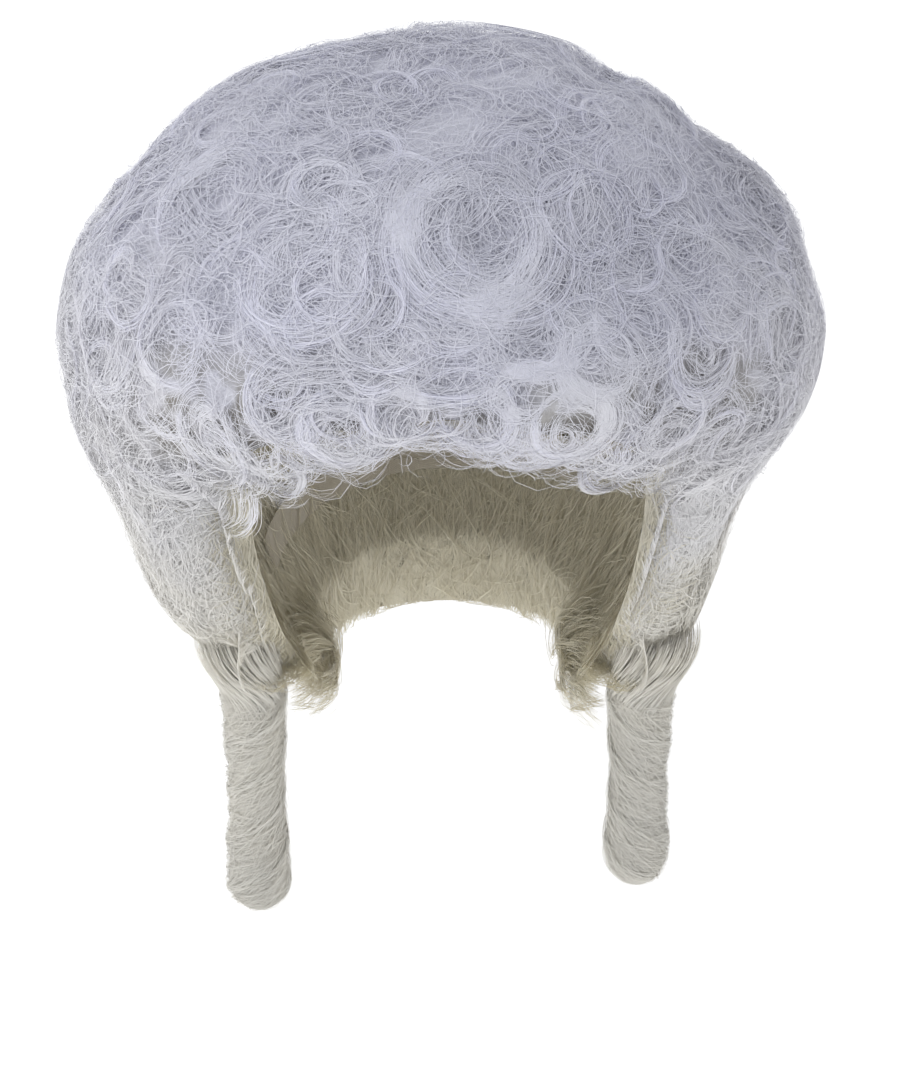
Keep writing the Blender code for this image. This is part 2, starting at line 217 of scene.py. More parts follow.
def sway(phi, z):
    """How far the hair stands beyond its plain shape: fuller low on the right, flatter on the left."""
    right = np.clip(-np.sin(np.radians(phi)), 0, 1)
    left = np.clip(np.sin(np.radians(phi)), 0, 1)
    fuller = 11.5 * right * np.exp(-(((z + 50) / 46) ** 2))
    slimmer = 6.0 * left * np.exp(-(((z + 12) / 52) ** 2))
    flatter = 8.0 * left * np.exp(-(((z - 92) / 20) ** 2))
    return fuller - slimmer - flatter


def tilt_of(z):
    """How far above or below the widest level a height is, as an angle in degrees."""
    return np.degrees(np.arcsin(np.clip((z - LEVEL) / np.where(z >= LEVEL, RISE, DROP), -1, 1)))


def tuck_share(phi, z):
    """How far the hair's outside is drawn in towards the head near its ends, as a share of its thickness."""
    around, tilt = np.abs(phi), tilt_of(z)
    low = tilt_of(ends_edge(phi))
    ends = np.where(around < 99, HAIR_UNDER / 3, HAIR_UNDER)
    ends = ends + smooth_steps([(92, 0), (106, 1)], around) * (HAIR_UNDER - ends)
    side = ends * np.clip(1 - (1 - tilt / low) / 0.4, 0, 1) ** 2
    low = tilt_of(fringe_edge(phi))
    front = HAIR_UNDER * np.clip(1 - (tilt - low) / (CROWN_TILT - low) / 0.4, 0, 1) ** 2
    fade = smooth_steps([(FACE_EDGE - 6, 1), (FACE_EDGE + 10, 0)], around)
    fade = fade * smooth_steps([(-24, 0), (-6, 1)], z)
    return np.where(around < FACE_EDGE, front, side + front * fade)


def edge_reach(phi, z):
    """Distance from the upright axis to the hair's outside near its free edges, where it is tucked in."""
    near, far = head_reach(phi, z), hair_reach(phi, z) + sway(phi, z)
    return far + (near - far) * tuck_share(phi, z)


def wall_weight(z):
    """1 where the side hair has a free edge beside the face, 0 where the fringe joins it."""
    return smooth_steps([(-16, 1), (16, 0)], z)


def edge_turn(z):
    """How far round the side hair's free edge is: it draws back towards the ringlet near its end."""
    return FACE_EDGE + 13.0 * smooth_steps([(-108, 1), (-64, 0)], z)


def outer(p):
    """The hair's outside: tucked in at its ends and rounded beside the face."""
    on, normal = drape(p)
    phi, z = angle_of(on), on[..., 2]
    around = np.abs(phi)
    past = around - edge_turn(z)
    near = np.clip(1 - np.where(past > 0, past / ROUND_TURN, -past / 9.0), 0, 1) * wall_weight(z)
    drawn = ROUND_DEPTH * (1 - np.sqrt(1 - np.minimum(near, 1) ** 2))
    share = 1 - (1 - tuck_share(phi, z)) * (1 - drawn)
    low = np.where(z < 90, z, 90.0)
    inside = level_point(phi, np.minimum(head_reach(phi, low), hair_reach(phi, low)), z)
    on = on + normal * sway(phi, z)[..., None]
    on = on + (inside - on) * share[..., None]
    side = np.where(phi >= 0, 1.0, -1.0)
    turn = np.radians(phi)
    facing = np.stack([-np.cos(turn) * side, -np.sin(turn) * side, 0 * turn], axis=-1)
    normal = normal * np.sqrt(np.clip(1 - near**2, 0, 1))[..., None] + facing * near[..., None]
    below = np.clip(1 - (z - lower_edge(phi)) / 26.0, 0, 1) * 0.8
    normal[..., 2] -= below
    return on, normal / np.linalg.norm(normal, axis=-1, keepdims=True)


def wall_of(side):
    """The side hair's edge beside the face, from the head outwards."""
    sign = SIDES[side]

    def wall(p):
        z = np.clip(p[..., 2], -106.0, 10.0)
        phi, reach = np.clip(sign * angle_of(p), FACE_EDGE, 90), np.hypot(p[..., 0], p[..., 1])
        near, far = head_reach(phi, z), edge_reach(sign * phi, z)
        s = np.clip((reach - near) / (far - near), 0, 1)
        q = np.clip((s - (1 - ROUND_DEPTH)) / ROUND_DEPTH, 0, 1)
        phi = edge_turn(z) + ROUND_TURN * (1 - np.sqrt(np.clip(1 - q**2, 0, 1))) * wall_weight(z)
        near, far = head_reach(phi, z), edge_reach(sign * phi, z)
        on = level_point(sign * phi, near + (far - near) * s, z)
        turn = np.radians(phi)
        facing = np.stack([-np.cos(turn) * sign, -np.sin(turn), 0 * turn], axis=-1)
        away = np.stack([np.sin(turn) * sign, -np.cos(turn), 0 * turn], axis=-1)
        normal = facing * (1 - 0.7 * q)[..., None] + away * (0.7 * q - 0.25 * (1 - q))[..., None]
        return on, normal / np.linalg.norm(normal, axis=-1, keepdims=True)

    return wall


def inner(p):
    """The hair's inside, towards the head. Its outward side is the one that faces the head."""
    z = np.clip(p[..., 2], -136.0, 96.0)
    phi = angle_of(p)
    reach = head_reach(phi, z)
    on = level_point(phi, reach, z)
    normal = np.stack([-np.sin(np.radians(phi)), np.cos(np.radians(phi)), 0 * phi], axis=-1)
    normal[..., 2] = -np.clip(z / HEAD_CROWN, 0, 1) * 1.3
    return on, normal / np.linalg.norm(normal, axis=-1, keepdims=True)


def under_ends(p):
    """The level underside of the side and back hair."""
    phi = angle_of(p)
    around = np.clip(np.abs(phi), FACE_EDGE + 1, 180) * np.where(phi >= 0, 1, -1)
    z = ends_edge(around)
    near, far = head_reach(around, z), edge_reach(around, z)
    reach = np.clip(np.hypot(p[..., 0], p[..., 1]), near + 0.5, far)
    on = level_point(around, reach, z)
    lean = np.clip((reach - near) / (far - near) - 0.5, -0.5, 0.5) * 1.2
    turn = np.radians(around)
    away = np.stack([np.sin(turn) * lean, -np.cos(turn) * lean, 0 * z - 1], axis=-1)
    on[..., 2] += 5.0 * np.clip(2 * np.abs(lean) / 1.2, 0, 1) ** 3
    return on, away / np.linalg.norm(away, axis=-1, keepdims=True)


def ringlet_shape(side, fat=1.0):
    """A ringlet's twisted outside, which starts as a ball round its pivot."""
    x, y, z = PIVOT[side]
    length = RINGLET_LENGTH[side]
    sign = SIDES[side]

    def shape(p):
        down = np.clip(z - p[..., 2], -RINGLET_RADIUS * 0.82, length)
        turn = np.arctan2(p[..., 1] - y, p[..., 0] - x)
        ball = np.sqrt(np.clip(1 - (np.minimum(down, 0) / RINGLET_RADIUS) ** 2, 0.03, 1))
        tip = np.clip((down - length + 15) / 15, 0, 1)
        closing = np.sqrt(np.clip(1 - tip**2.2, 0.0, 1))
        waist = 0.92 + 0.05 * np.cos(down / length * 7.0) + 0.05 * np.clip(down / length - 0.55, 0, 1)
        lobe = 1 + 0.022 * np.cos(2 * (turn - sign * math.tau * down / RINGLET_PITCH))
        reach = RINGLET_RADIUS * fat * ball * closing * waist * lobe
        on = np.stack([x + reach * np.cos(turn), y + reach * np.sin(turn), z - down], axis=-1)
        normal = np.stack([np.cos(turn), np.sin(turn), -1.3 * tip**2 + 0 * turn], axis=-1)
        return on, normal / np.linalg.norm(normal, axis=-1, keepdims=True)

    return shape


def axes_at(normal):
    """Level and upward directions along the surface, for outward normals."""
    level = np.cross(np.array([0.0, 0.0, 1.0]), normal)
    length = np.linalg.norm(level, axis=-1, keepdims=True)
    level = np.where(length > 0.05, level / np.maximum(length, 1e-9), np.array([1.0, 0.0, 0.0]))
    up = np.cross(normal, level)
    return level, up / np.linalg.norm(up, axis=-1, keepdims=True)


def node_of(p):
    """The CAD hair node that each point belongs to."""
    phi = angle_of(p)
    side = np.where(phi >= 0, "left", "right")
    around, tilt = np.abs(phi), tilt_of(p[..., 2])
    names = np.full(phi.shape, "crown_hair", dtype=object)
    low = tilt < CROWN_TILT
    upper, lower = low & (p[..., 2] >= LEVEL), low & (p[..., 2] < LEVEL)

    def put(where, name, paired=True):
        names[where] = [f"{name}_{s}" if paired else name for s in side[where]]

    put(low & (around < 18), "front_center_hair", False)
    put(low & (around >= 18) & (around < FACE_EDGE), "front_hair")
    put(upper & (around >= FACE_EDGE) & (around < 99), "upper_side_hair")
    put(upper & (around >= 99) & (around < 144), "upper_back_side_hair")
    put(upper & (around >= 144), "upper_back_hair", False)
    put(lower & (around >= FACE_EDGE) & (around < 72), "temple_lock")
    put(lower & (around >= 72) & (around < 99), "lower_side_hair")
    put(lower & (around >= 99) & (around < 144), "lower_back_side_hair")
    put(lower & (around >= 144), "nape_hair", False)
    return names


# ---------------------------------------------------------------- meshes


def mesh_from(name, verts, quads, slots=None):
    """A smooth mesh from arrays of vertices, in mm, and quads, with a material number for each quad."""
    mesh = bpy.data.meshes.new(name)
    mesh.vertices.add(len(verts))
    mesh.vertices.foreach_set("co", np.asarray(verts * MM, np.float32).ravel())
    mesh.loops.add(quads.size)
    mesh.loops.foreach_set("vertex_index", quads.ravel().astype(np.int32))
    mesh.polygons.add(len(quads))
    mesh.polygons.foreach_set("loop_start", (np.arange(len(quads)) * 4).astype(np.int32))
    if slots is not None:
        mesh.polygons.foreach_set("material_index", slots.astype(np.int32))
    mesh.update(calc_edges=True)
    mesh.validate()
    mesh.shade_smooth()
    return mesh


def add_object(name, mesh, materials):
    obj = bpy.data.objects.new(name, mesh)
    bpy.context.scene.collection.objects.link(obj)
    for m in materials:
        mesh.materials.append(m)
    return obj


def hair_mesh(name, groups):
    """One mesh of tapered hairs, each a fine ribbon turned a little its own way.

    A group is (points, outward directions, half widths, material number).
    """
    verts, quads, slots, start = [], [], [], 0
    rng = np.random.default_rng(len(groups))
    for points, outward, width, slot in groups:
        n, k, _ = points.shape
        along = np.gradient(points, axis=1)
        along /= np.maximum(np.linalg.norm(along, axis=-1, keepdims=True), 1e-9)
        across = np.cross(outward, along)
        across /= np.maximum(np.linalg.norm(across, axis=-1, keepdims=True), 1e-6)
        roll = rng.uniform(-0.4, 0.4, n)[:, None, None]
        across = across * np.cos(roll) + np.cross(along, across) * np.sin(roll)
        t = np.linspace(0, 1, k)
        thin = 0.2 + 0.8 * np.sqrt(np.clip(1 - np.abs(2 * t - 1) ** 3, 0, 1))
        half = (width[:, None] * thin[None, :])[..., None]
        verts.append(np.stack([points - across * half, points + across * half], axis=2).reshape(-1, 3))
        base = start + np.arange(n)[:, None] * (k * 2) + np.arange(k - 1)[None, :] * 2
        quads.append(np.stack([base, base + 1, base + 3, base + 2], axis=2).reshape(-1, 4))
        slots.append(np.full(n * (k - 1), slot))
        start += n * k * 2
    return mesh_from(name, np.concatenate(verts), np.concatenate(quads), np.concatenate(slots))


def tube_mesh(name, lines, radius, sides=5):
    """One mesh of closed tubes along lines of points, in mm."""
    verts, quads, start = [], [], 0
    for line in lines:
        line = np.asarray(line, float)
        along = np.gradient(line, axis=0)
        along /= np.maximum(np.linalg.norm(along, axis=1, keepdims=True), 1e-9)
        helper = np.where(np.abs(along[:, 2:3]) > 0.9, np.array([1.0, 0, 0]), np.array([0, 0, 1.0]))
        across = np.cross(along, helper)
        across /= np.linalg.norm(across, axis=1, keepdims=True)
        up = np.cross(along, across)
        turn = np.arange(sides) / sides * math.tau
        turn = turn[None, :, None]
        ring = across[:, None] * np.cos(turn) + up[:, None] * np.sin(turn)
        body = line[:, None] + ring * radius
        k = len(line)
        first, last = body[0] * 0.4 + line[0] * 0.6, body[-1] * 0.4 + line[-1] * 0.6
        body = np.concatenate([first[None], body, last[None]])
        verts.append(body.reshape(-1, 3))
        row = start + np.arange(k + 1)[:, None] * sides
        i, j = np.arange(sides)[None, :], (np.arange(sides)[None, :] + 1) % sides
        quads.append(np.stack([row + i, row + sides + i, row + sides + j, row + j], axis=2).reshape(-1, 4))
        start += (k + 2) * sides
    return mesh_from(name, np.concatenate(verts), np.concatenate(quads))


# ---------------------------------------------------------------- locks and loose hairs


def locks(rng, surface, spots, heading, length, bend, strands, width, lift, **how):
    """Locks of hairs that run together along a curved course on a surface.

    For each lock: its middle, heading in radians from level, length, bend (1 / radius, signed), width and
    lift above the surface. More, the same for all: tight is how much more a lock bends towards its end,
    wave how much its heading wanders, loose how far its hairs stray in heading, keep how deep its ends go
    under, arch how much its middle hairs stand above its edges, and points the points on each hair.
    Returns the points on the surface, the outward directions there and the heights above it.
    """
    tight, wave, loose = how.get("tight", 0.0), how.get("wave", 0.15), how.get("loose", 0.09)
    keep, arch, points = how.get("keep", 2.2), how.get("arch", 1.2), how.get("points", 11)
    n = len(spots)
    shape = [np.broadcast_to(np.asarray(a, float), (n,)) for a in (heading, length, bend, width, lift)]
    which = np.repeat(np.arange(n), strands)
    heading, length, bend, width, lift = (a[which] for a in shape)
    m = len(which)
    offset = np.clip(rng.normal(0, 0.5, m), -1.3, 1.3)
    t = np.linspace(0, 1, points)[None, :]
    run = (length * rng.uniform(0.6, 1.2, m))[:, None]
    phase = (rng.uniform(0, math.tau, n)[which] + rng.normal(0, 0.5, m))[:, None]
    course = (t - 0.5) * run
    angle = heading[:, None] + bend[:, None] * course * (1 + tight * t)
    angle = angle + wave * np.sin(course * 0.21 + phase) + rng.normal(0, loose, m)[:, None]
    step = run / (points - 1)
    u, v = np.cumsum(np.cos(angle) * step, axis=1), np.cumsum(np.sin(angle) * step, axis=1)
    half = points // 2
    u, v = u - u[:, half : half + 1], v - v[:, half : half + 1]
    slide = rng.normal(0, 0.10, m)[:, None] * run
    fan = 1 + 0.35 * np.cos(math.pi * t + rng.uniform(0, math.pi, n)[which][:, None])
    side = (offset * width / 2)[:, None] * fan
    u = u - np.sin(angle) * side + np.cos(angle) * slide
    v = v + np.cos(angle) * side + np.sin(angle) * slide
    at, normal = surface(spots)
    level, up = axes_at(normal)
    rough = at[which][:, None] + u[..., None] * level[which][:, None] + v[..., None] * up[which][:, None]
    on, out = surface(rough)
    height = lift[:, None] + arch * np.sqrt(np.clip(1 - offset**2, 0, 1))[:, None]
    height = height + rng.normal(0, 0.4, m)[:, None] - keep * np.abs(2 * t - 1) ** 3
    return on, out, height


def outer_point(phi, z):
    """The point on the hair's plain outer shape at this angle and height."""
    phi, z = np.atleast_1d(np.asarray(phi, float)), np.atleast_1d(np.asarray(z, float))
    return level_point(phi, hair_reach(phi, z), z)


def curl(rng, surface, phi, z, size, arcs, **how):
    """A curl: arcs of hair round about one center, each a small lock, and most of them near its outside.

    size is its half width and half height. start is the angle in degrees at which the outer arcs begin,
    sweep how far round they go and turn their direction. Returns the hairs, and whether each has the
    painted highlight, a brighter tone for the light that it catches.
    """
    hairs, points, thick = 15, 14, 1.1
    start, sweep, turn = how.get("start", 0.0), math.radians(how.get("sweep", 300.0)), how.get("turn", 1)
    lift = how.get("lift", -0.3)
    at, normal = surface(outer_point(phi, z))
    level, up = axes_at(normal)
    outside = rng.uniform(0, 1, arcs) < 0.6
    share = np.where(outside, rng.normal(0.88, 0.12, arcs), rng.uniform(0.25, 0.85, arcs))
    begin = math.radians(start) + turn * sweep * rng.uniform(0, 0.55, arcs)
    begin = np.where(outside, begin, rng.uniform(0, 6.3, arcs))
    span = np.where(outside, sweep * rng.uniform(0.3, 0.6, arcs), rng.uniform(1.2, 3.2, arcs))
    shift = rng.normal(0, 0.12, (arcs, 2))
    thin = rng.uniform(0.04, 0.12, arcs)
    spiral = rng.normal(0, 0.17, arcs)
    # Outer arcs that get the painted highlight, a brighter tone for the light that they catch; they also
    # stand higher.
    gleam = (rng.uniform(0, 1, arcs) < how.get("gleam", 0.3)) & outside
    which = np.repeat(np.arange(arcs), hairs)
    m = len(which)
    t = np.linspace(0, 1, points)[None, :]
    arc = span[which] * rng.uniform(0.75, 1.15, m)
    angle = (begin[which] + rng.normal(0, 0.16, m))[:, None] + turn * arc[:, None] * t
    offset = rng.normal(0, 1, m)
    r = (share[which] + thin[which] * offset)[:, None] + spiral[which][:, None] * (t - 0.5)
    r = r + rng.normal(0, 0.06, m)[:, None] * (2 * t - 1) ** 2
    r = r + 0.05 * np.sin(2 * angle + which[:, None] * 1.7)
    u = size[0] * (r * np.cos(angle) + shift[which, :1])
    v = size[1] * (r * np.sin(angle) + shift[which, 1:])
    on, out = surface(at[0] + u[..., None] * level[0] + v[..., None] * up[0])
    height = lift + thick * np.exp(-(offset**2)) + rng.normal(0, 0.4, m)
    height = height + np.where(gleam[which], 0.5, 0.0)
    height = height[:, None] - 1.8 * np.abs(2 * t - 1) ** 3
    return (on, out, height), gleam[which]


# ---------------------------------------------------------------- materials


def nodes_of(name):
    mat = bpy.data.materials.new(name)
    mat.use_nodes = True
    tree = mat.node_tree
    return mat, tree, tree.nodes["Principled BSDF"]


def add(tree, kind, **values):
    node = tree.nodes.new(kind)
    for key, value in values.items():
        if key in node.inputs:
            node.inputs[key].default_value = value
        else:
            setattr(node, key, value)
    return node


def put(tree, value, socket):
    """Links an output to a socket, or sets the socket to a number or a color."""
    if isinstance(value, bpy.types.NodeSocket):
        tree.links.new(value, socket)
    elif isinstance(value, (int, float)):
        socket.default_value = value
    else:
        socket.default_value = (*value, 1)


def combine(tree, operation, *values):
    node = add(tree, "ShaderNodeMath", operation=operation)
    for value, socket in zip(values, node.inputs):
        put(tree, value, socket)
    return node.outputs[0]


def between(tree, source, start, end):
    """How far the source has come from start, 0, to end, 1."""
    node = add(tree, "ShaderNodeMapRange")
    node.inputs["From Min"].default_value = start
    node.inputs["From Max"].default_value = end
    tree.links.new(source, node.inputs["Value"])
    return node.outputs[0]


def noise(tree, place, scale, detail, roughness=0.5):
    node = add(tree, "ShaderNodeTexNoise", Scale=scale, Detail=detail, Roughness=roughness)
    tree.links.new(place, node.inputs["Vector"])
    return node.outputs["Fac"]


def ramp(tree, source, stops):
    node = tree.nodes.new("ShaderNodeValToRGB")
    tree.links.new(source, node.inputs[0])
    elements = node.color_ramp.elements
    while len(elements) < len(stops):
        elements.new(0.5)
    for element, (position, color) in zip(elements, stops):
        element.position = position
        element.color = (*color, 1)
    return node.outputs[0]


def mix_color(tree, factor, a, b, blend="MIX"):
    node = tree.nodes.new("ShaderNodeMix")
    node.data_type = "RGBA"
    node.blend_type = blend
    for value, socket in ((factor, node.inputs[0]), (a, node.inputs[6]), (b, node.inputs[7])):
        put(tree, value, socket)
    return node.outputs[2]


def bump(tree, shader, source, strength, distance):
    relief = add(tree, "ShaderNodeBump", Strength=strength, Distance=distance)
    tree.links.new(source, relief.inputs["Height"])
    tree.links.new(relief.outputs[0], shader.inputs["Normal"])


def grey(value):
    return (value, value, value)


def fibre_streaks(tree, place):
    """Fine fibres that cross in three directions."""
    total = None
    for turn, scale in ((0.5, (900, 900, 120)), (2.0, (160, 900, 900)), (1.1, (900, 160, 700))):
        mapping = add(tree, "ShaderNodeMapping", Rotation=(turn, turn * 0.7, turn * 1.3), Scale=scale)
        tree.links.new(place, mapping.inputs["Vector"])
        fibres = noise(tree, mapping.outputs[0], 1.0, 3.0, 0.6)
        total = fibres if total is None else combine(tree, "MAXIMUM", total, fibres)
    return total


def fringe_gap_shade(tree, place, axes):
    """Painted shade: dark patches behind the fringe's open curls, where the hair is thin and the hollows
    between the curls lie in shade.
    """
    share = between(tree, noise(tree, place, 75.0, 1.0), 0.37, 0.52)
    for axis, start, end in (("Z", 0.072, 0.046), ("Y", -0.035, -0.075)):
        share = combine(tree, "MULTIPLY", share, between(tree, axes[axis], start, end))
    return share


def hair_material(name, stops, shade=1.0, variation=0.055, rough=0.55, fibre=0.0, gap_shade=False):
    """White fibre whose tone drifts with height along the stops and at random in soft patches, and differs
    from hair to hair. On the outside hair the drift with height is painted light.

    shade below 1 darkens the whole tone: painted shade on the soft masses, where they show between the
    hairs. fibre draws fine crossed streaks into the tone and the relief, and the flag for the fringe paints
    shade into patches behind the fringe's open curls. The streaks and the fringe's painted shade are for the
    soft mass between the modelled hairs.
    """
    mat, tree, shader = nodes_of(name)
    place = add(tree, "ShaderNodeTexCoord").outputs["Object"]
    split = add(tree, "ShaderNodeSeparateXYZ")
    tree.links.new(place, split.inputs[0])
    # The tone follows the stops with height, painted light on the outside hair; the noise patches are tone
    # that differs at random.
    height = between(tree, split.outputs["Z"], -0.14, 0.12)
    patch = noise(tree, place, 24.0, 2.0)
    drift = combine(tree, "MULTIPLY_ADD", patch, 0.36, combine(tree, "SUBTRACT", height, 0.18))
    color = ramp(tree, drift, stops)
    # Painted shade in the hollows behind the fringe's open curls.
    if gap_shade:
        color = mix_color(tree, fringe_gap_shade(tree, place, split.outputs), color, PAINTED_GAP_SHADE)
    if fibre:
        streaks = fibre_streaks(tree, place)
        tone = ramp(tree, streaks, [(0.42, grey((1 - fibre) * shade)), (0.68, grey(shade))])
        bump(tree, shader, streaks, 0.7, 0.0008)
    else:
        island = add(tree, "ShaderNodeNewGeometry").outputs["Random Per Island"]
        darkest, lightest = grey(shade * (1 - variation)), grey(shade * (1 + variation))
        tone = ramp(tree, island, [(0.0, darkest), (1.0, lightest)])
    color = mix_color(tree, 1.0, color, tone, "MULTIPLY")
    tree.links.new(color, shader.inputs["Base Color"])
    shader.inputs["Roughness"].default_value = rough
    shader.inputs["Specular IOR Level"].default_value = 0.3
    shader.inputs["Sheen Weight"].default_value = 0.1
    return mat


# COOL is a painted tint of the cool light that falls on the crown from above; WARM, low on the outside, a
# painted tint of warm light from below.
COOL, PLAIN = (0.79, 0.79, 0.87), (0.84, 0.83, 0.83)
WARM, CREAM = (0.83, 0.80, 0.72), (0.78, 0.73, 0.58)
# The tone of the painted shade in the hollows behind the fringe's open curls.
PAINTED_GAP_SHADE = (0.34, 0.32, 0.295)

# Tones from the ends of the hair up to the crown. On the outside they paint the light: a warm tint low
# down for warm light from below, and a cool tint at the crown for cool light from above. The very ends are
# also darker.
OUTSIDE = [(0.0, (0.72, 0.70, 0.645)), (0.2, WARM), (0.45, PLAIN), (0.85, COOL)]
# The painted highlight: the same tones by height, brighter, for hairs that catch the light.
PAINTED_HIGHLIGHT_TONES = [(0.0, (0.77, 0.75, 0.69)), (0.2, (0.86, 0.84, 0.77))]
PAINTED_HIGHLIGHT_TONES += [(0.45, (0.88, 0.87, 0.89)), (0.8, (0.84, 0.84, 0.94))]
INSIDE = [(0.2, CREAM), (0.9, WARM)]
STRAND = hair_material("wig_hair", OUTSIDE)
# A brighter painted highlight for hairs that catch the light, and a little smoother.
PAINTED_HIGHLIGHT = hair_material("wig_hair_gleam", PAINTED_HIGHLIGHT_TONES, rough=0.4)
# The soft masses are a little darker than the hairs (shade below 1): painted shade where they show between
# the hairs.
UNDER = hair_material("wig_hair_mass", OUTSIDE, shade=0.97, rough=0.8, fibre=0.16, gap_shade=True)
INNER_STRAND = hair_material("wig_hair_inside", INSIDE)
INNER_UNDER = hair_material("wig_hair_inside_mass", INSIDE, shade=0.95, rough=0.8, fibre=0.2)
LOOKS = [STRAND, PAINTED_HIGHLIGHT, INNER_STRAND]
PLAIN_HAIR, PAINTED_HIGHLIGHT_HAIR, INSIDE_HAIR = 0, 1, 2


def cloth_material(name, color, darker, scale, rough=0.85, ribs=("X", "Y", "Z")):
    """Woven or knitted cloth: fine crossing ribs with a little wear in the tone."""
    mat, tree, shader = nodes_of(name)
    place = add(tree, "ShaderNodeTexCoord").outputs["Object"]
    total = None
    for direction in ribs:
        wave = add(tree, "ShaderNodeTexWave", Scale=scale, bands_direction=direction, Distortion=1.2)
        wave.inputs["Detail Scale"].default_value = 3.0
        tree.links.new(place, wave.inputs["Vector"])
        rib = wave.outputs["Fac"]
        total = rib if total is None else combine(tree, "MULTIPLY", total, rib)
    woven = ramp(tree, total, [(0.0, darker), (0.7, color)])
    worn = ramp(tree, noise(tree, place, 60.0, 3.0), [(0.3, (0.88, 0.87, 0.84)), (0.7, grey(1.0))])
    tree.links.new(mix_color(tree, 1.0, woven, worn, "MULTIPLY"), shader.inputs["Base Color"])
    shader.inputs["Roughness"].default_value = rough
    shader.inputs["Sheen Weight"].default_value = 0.2
    bump(tree, shader, total, 0.5, 0.0004)
    return mat


BAND = cloth_material("cap_band_cloth", (0.80, 0.75, 0.66), (0.62, 0.57, 0.48), 900.0)
ELASTIC = cloth_material("cap_elastic", (0.84, 0.80, 0.72), (0.60, 0.56, 0.49), 500.0, rough=0.7, ribs=("Z",))
WEFT = cloth_material("cap_weft", (0.80, 0.76, 0.68), (0.60, 0.56, 0.48), 700.0, rough=0.8)
THREAD = cloth_material("cap_thread", (0.88, 0.85, 0.77), (0.74, 0.70, 0.62), 1500.0, rough=0.6)


def plain_material(name, color, rough, metallic=0.0):
    """Moulded or drawn material with faint unevenness in tone."""
    mat, tree, shader = nodes_of(name)
    place = add(tree, "ShaderNodeTexCoord").outputs["Object"]
    low = tuple(0.96 * c for c in color)
    tone = ramp(tree, noise(tree, place, 400.0, 3.0), [(0.35, low), (0.65, color)])
    tree.links.new(tone, shader.inputs["Base Color"])
    shader.inputs["Roughness"].default_value = rough
    shader.inputs["Metallic"].default_value = metallic
    return mat


PLASTIC = plain_material("stay_plastic", (0.80, 0.82, 0.83), 0.35)
STEEL = plain_material("hook_steel", (0.62, 0.62, 0.64), 0.28, 1.0)


# ---------------------------------------------------------------- the soft mass


def is_hair(name):
    return name.endswith("_hair") or "_hair_" in name or name.startswith("temple_lock")


def depth_in_hair(p):
    """Where points lie between the hair's inside, 0, and its outside, 1."""
    # Level distances serve below this height. Above it, the distances are shares of mean radii.
    top, inner_mean, outer_mean = 70.0, 90, 115
    x, y, z = p[:, 0], p[:, 1], p[:, 2]
    phi, reach = angle_of(p), np.hypot(x, y)
    near, far = head_reach(phi, np.minimum(z, top)), hair_reach(phi, np.minimum(z, top))
    far = far + (near - far) * tuck_share(phi, z)
    level = (reach - near) / np.maximum(far - near, 1)
    outer_share = (x / HALF_WIDTH) ** 2 + ((y - SHIFT) / HALF_DEPTH) ** 2 + ((z - LEVEL) / RISE) ** 2
    wide, deep, high = HEAD_WIDTH + HAIR_START, HEAD_DEPTH + HAIR_START, HEAD_CROWN + HAIR_START
    inner_share = np.sqrt((x / wide) ** 2 + (y / deep) ** 2 + (z / high) ** 2)
    rise = np.maximum(inner_share - 1, 0) * inner_mean
    cover = np.maximum(1 - np.sqrt(outer_share), 0) * outer_mean
    return np.clip(np.where(z < top, level, rise / (rise + cover + 0.01)), 0, 1)


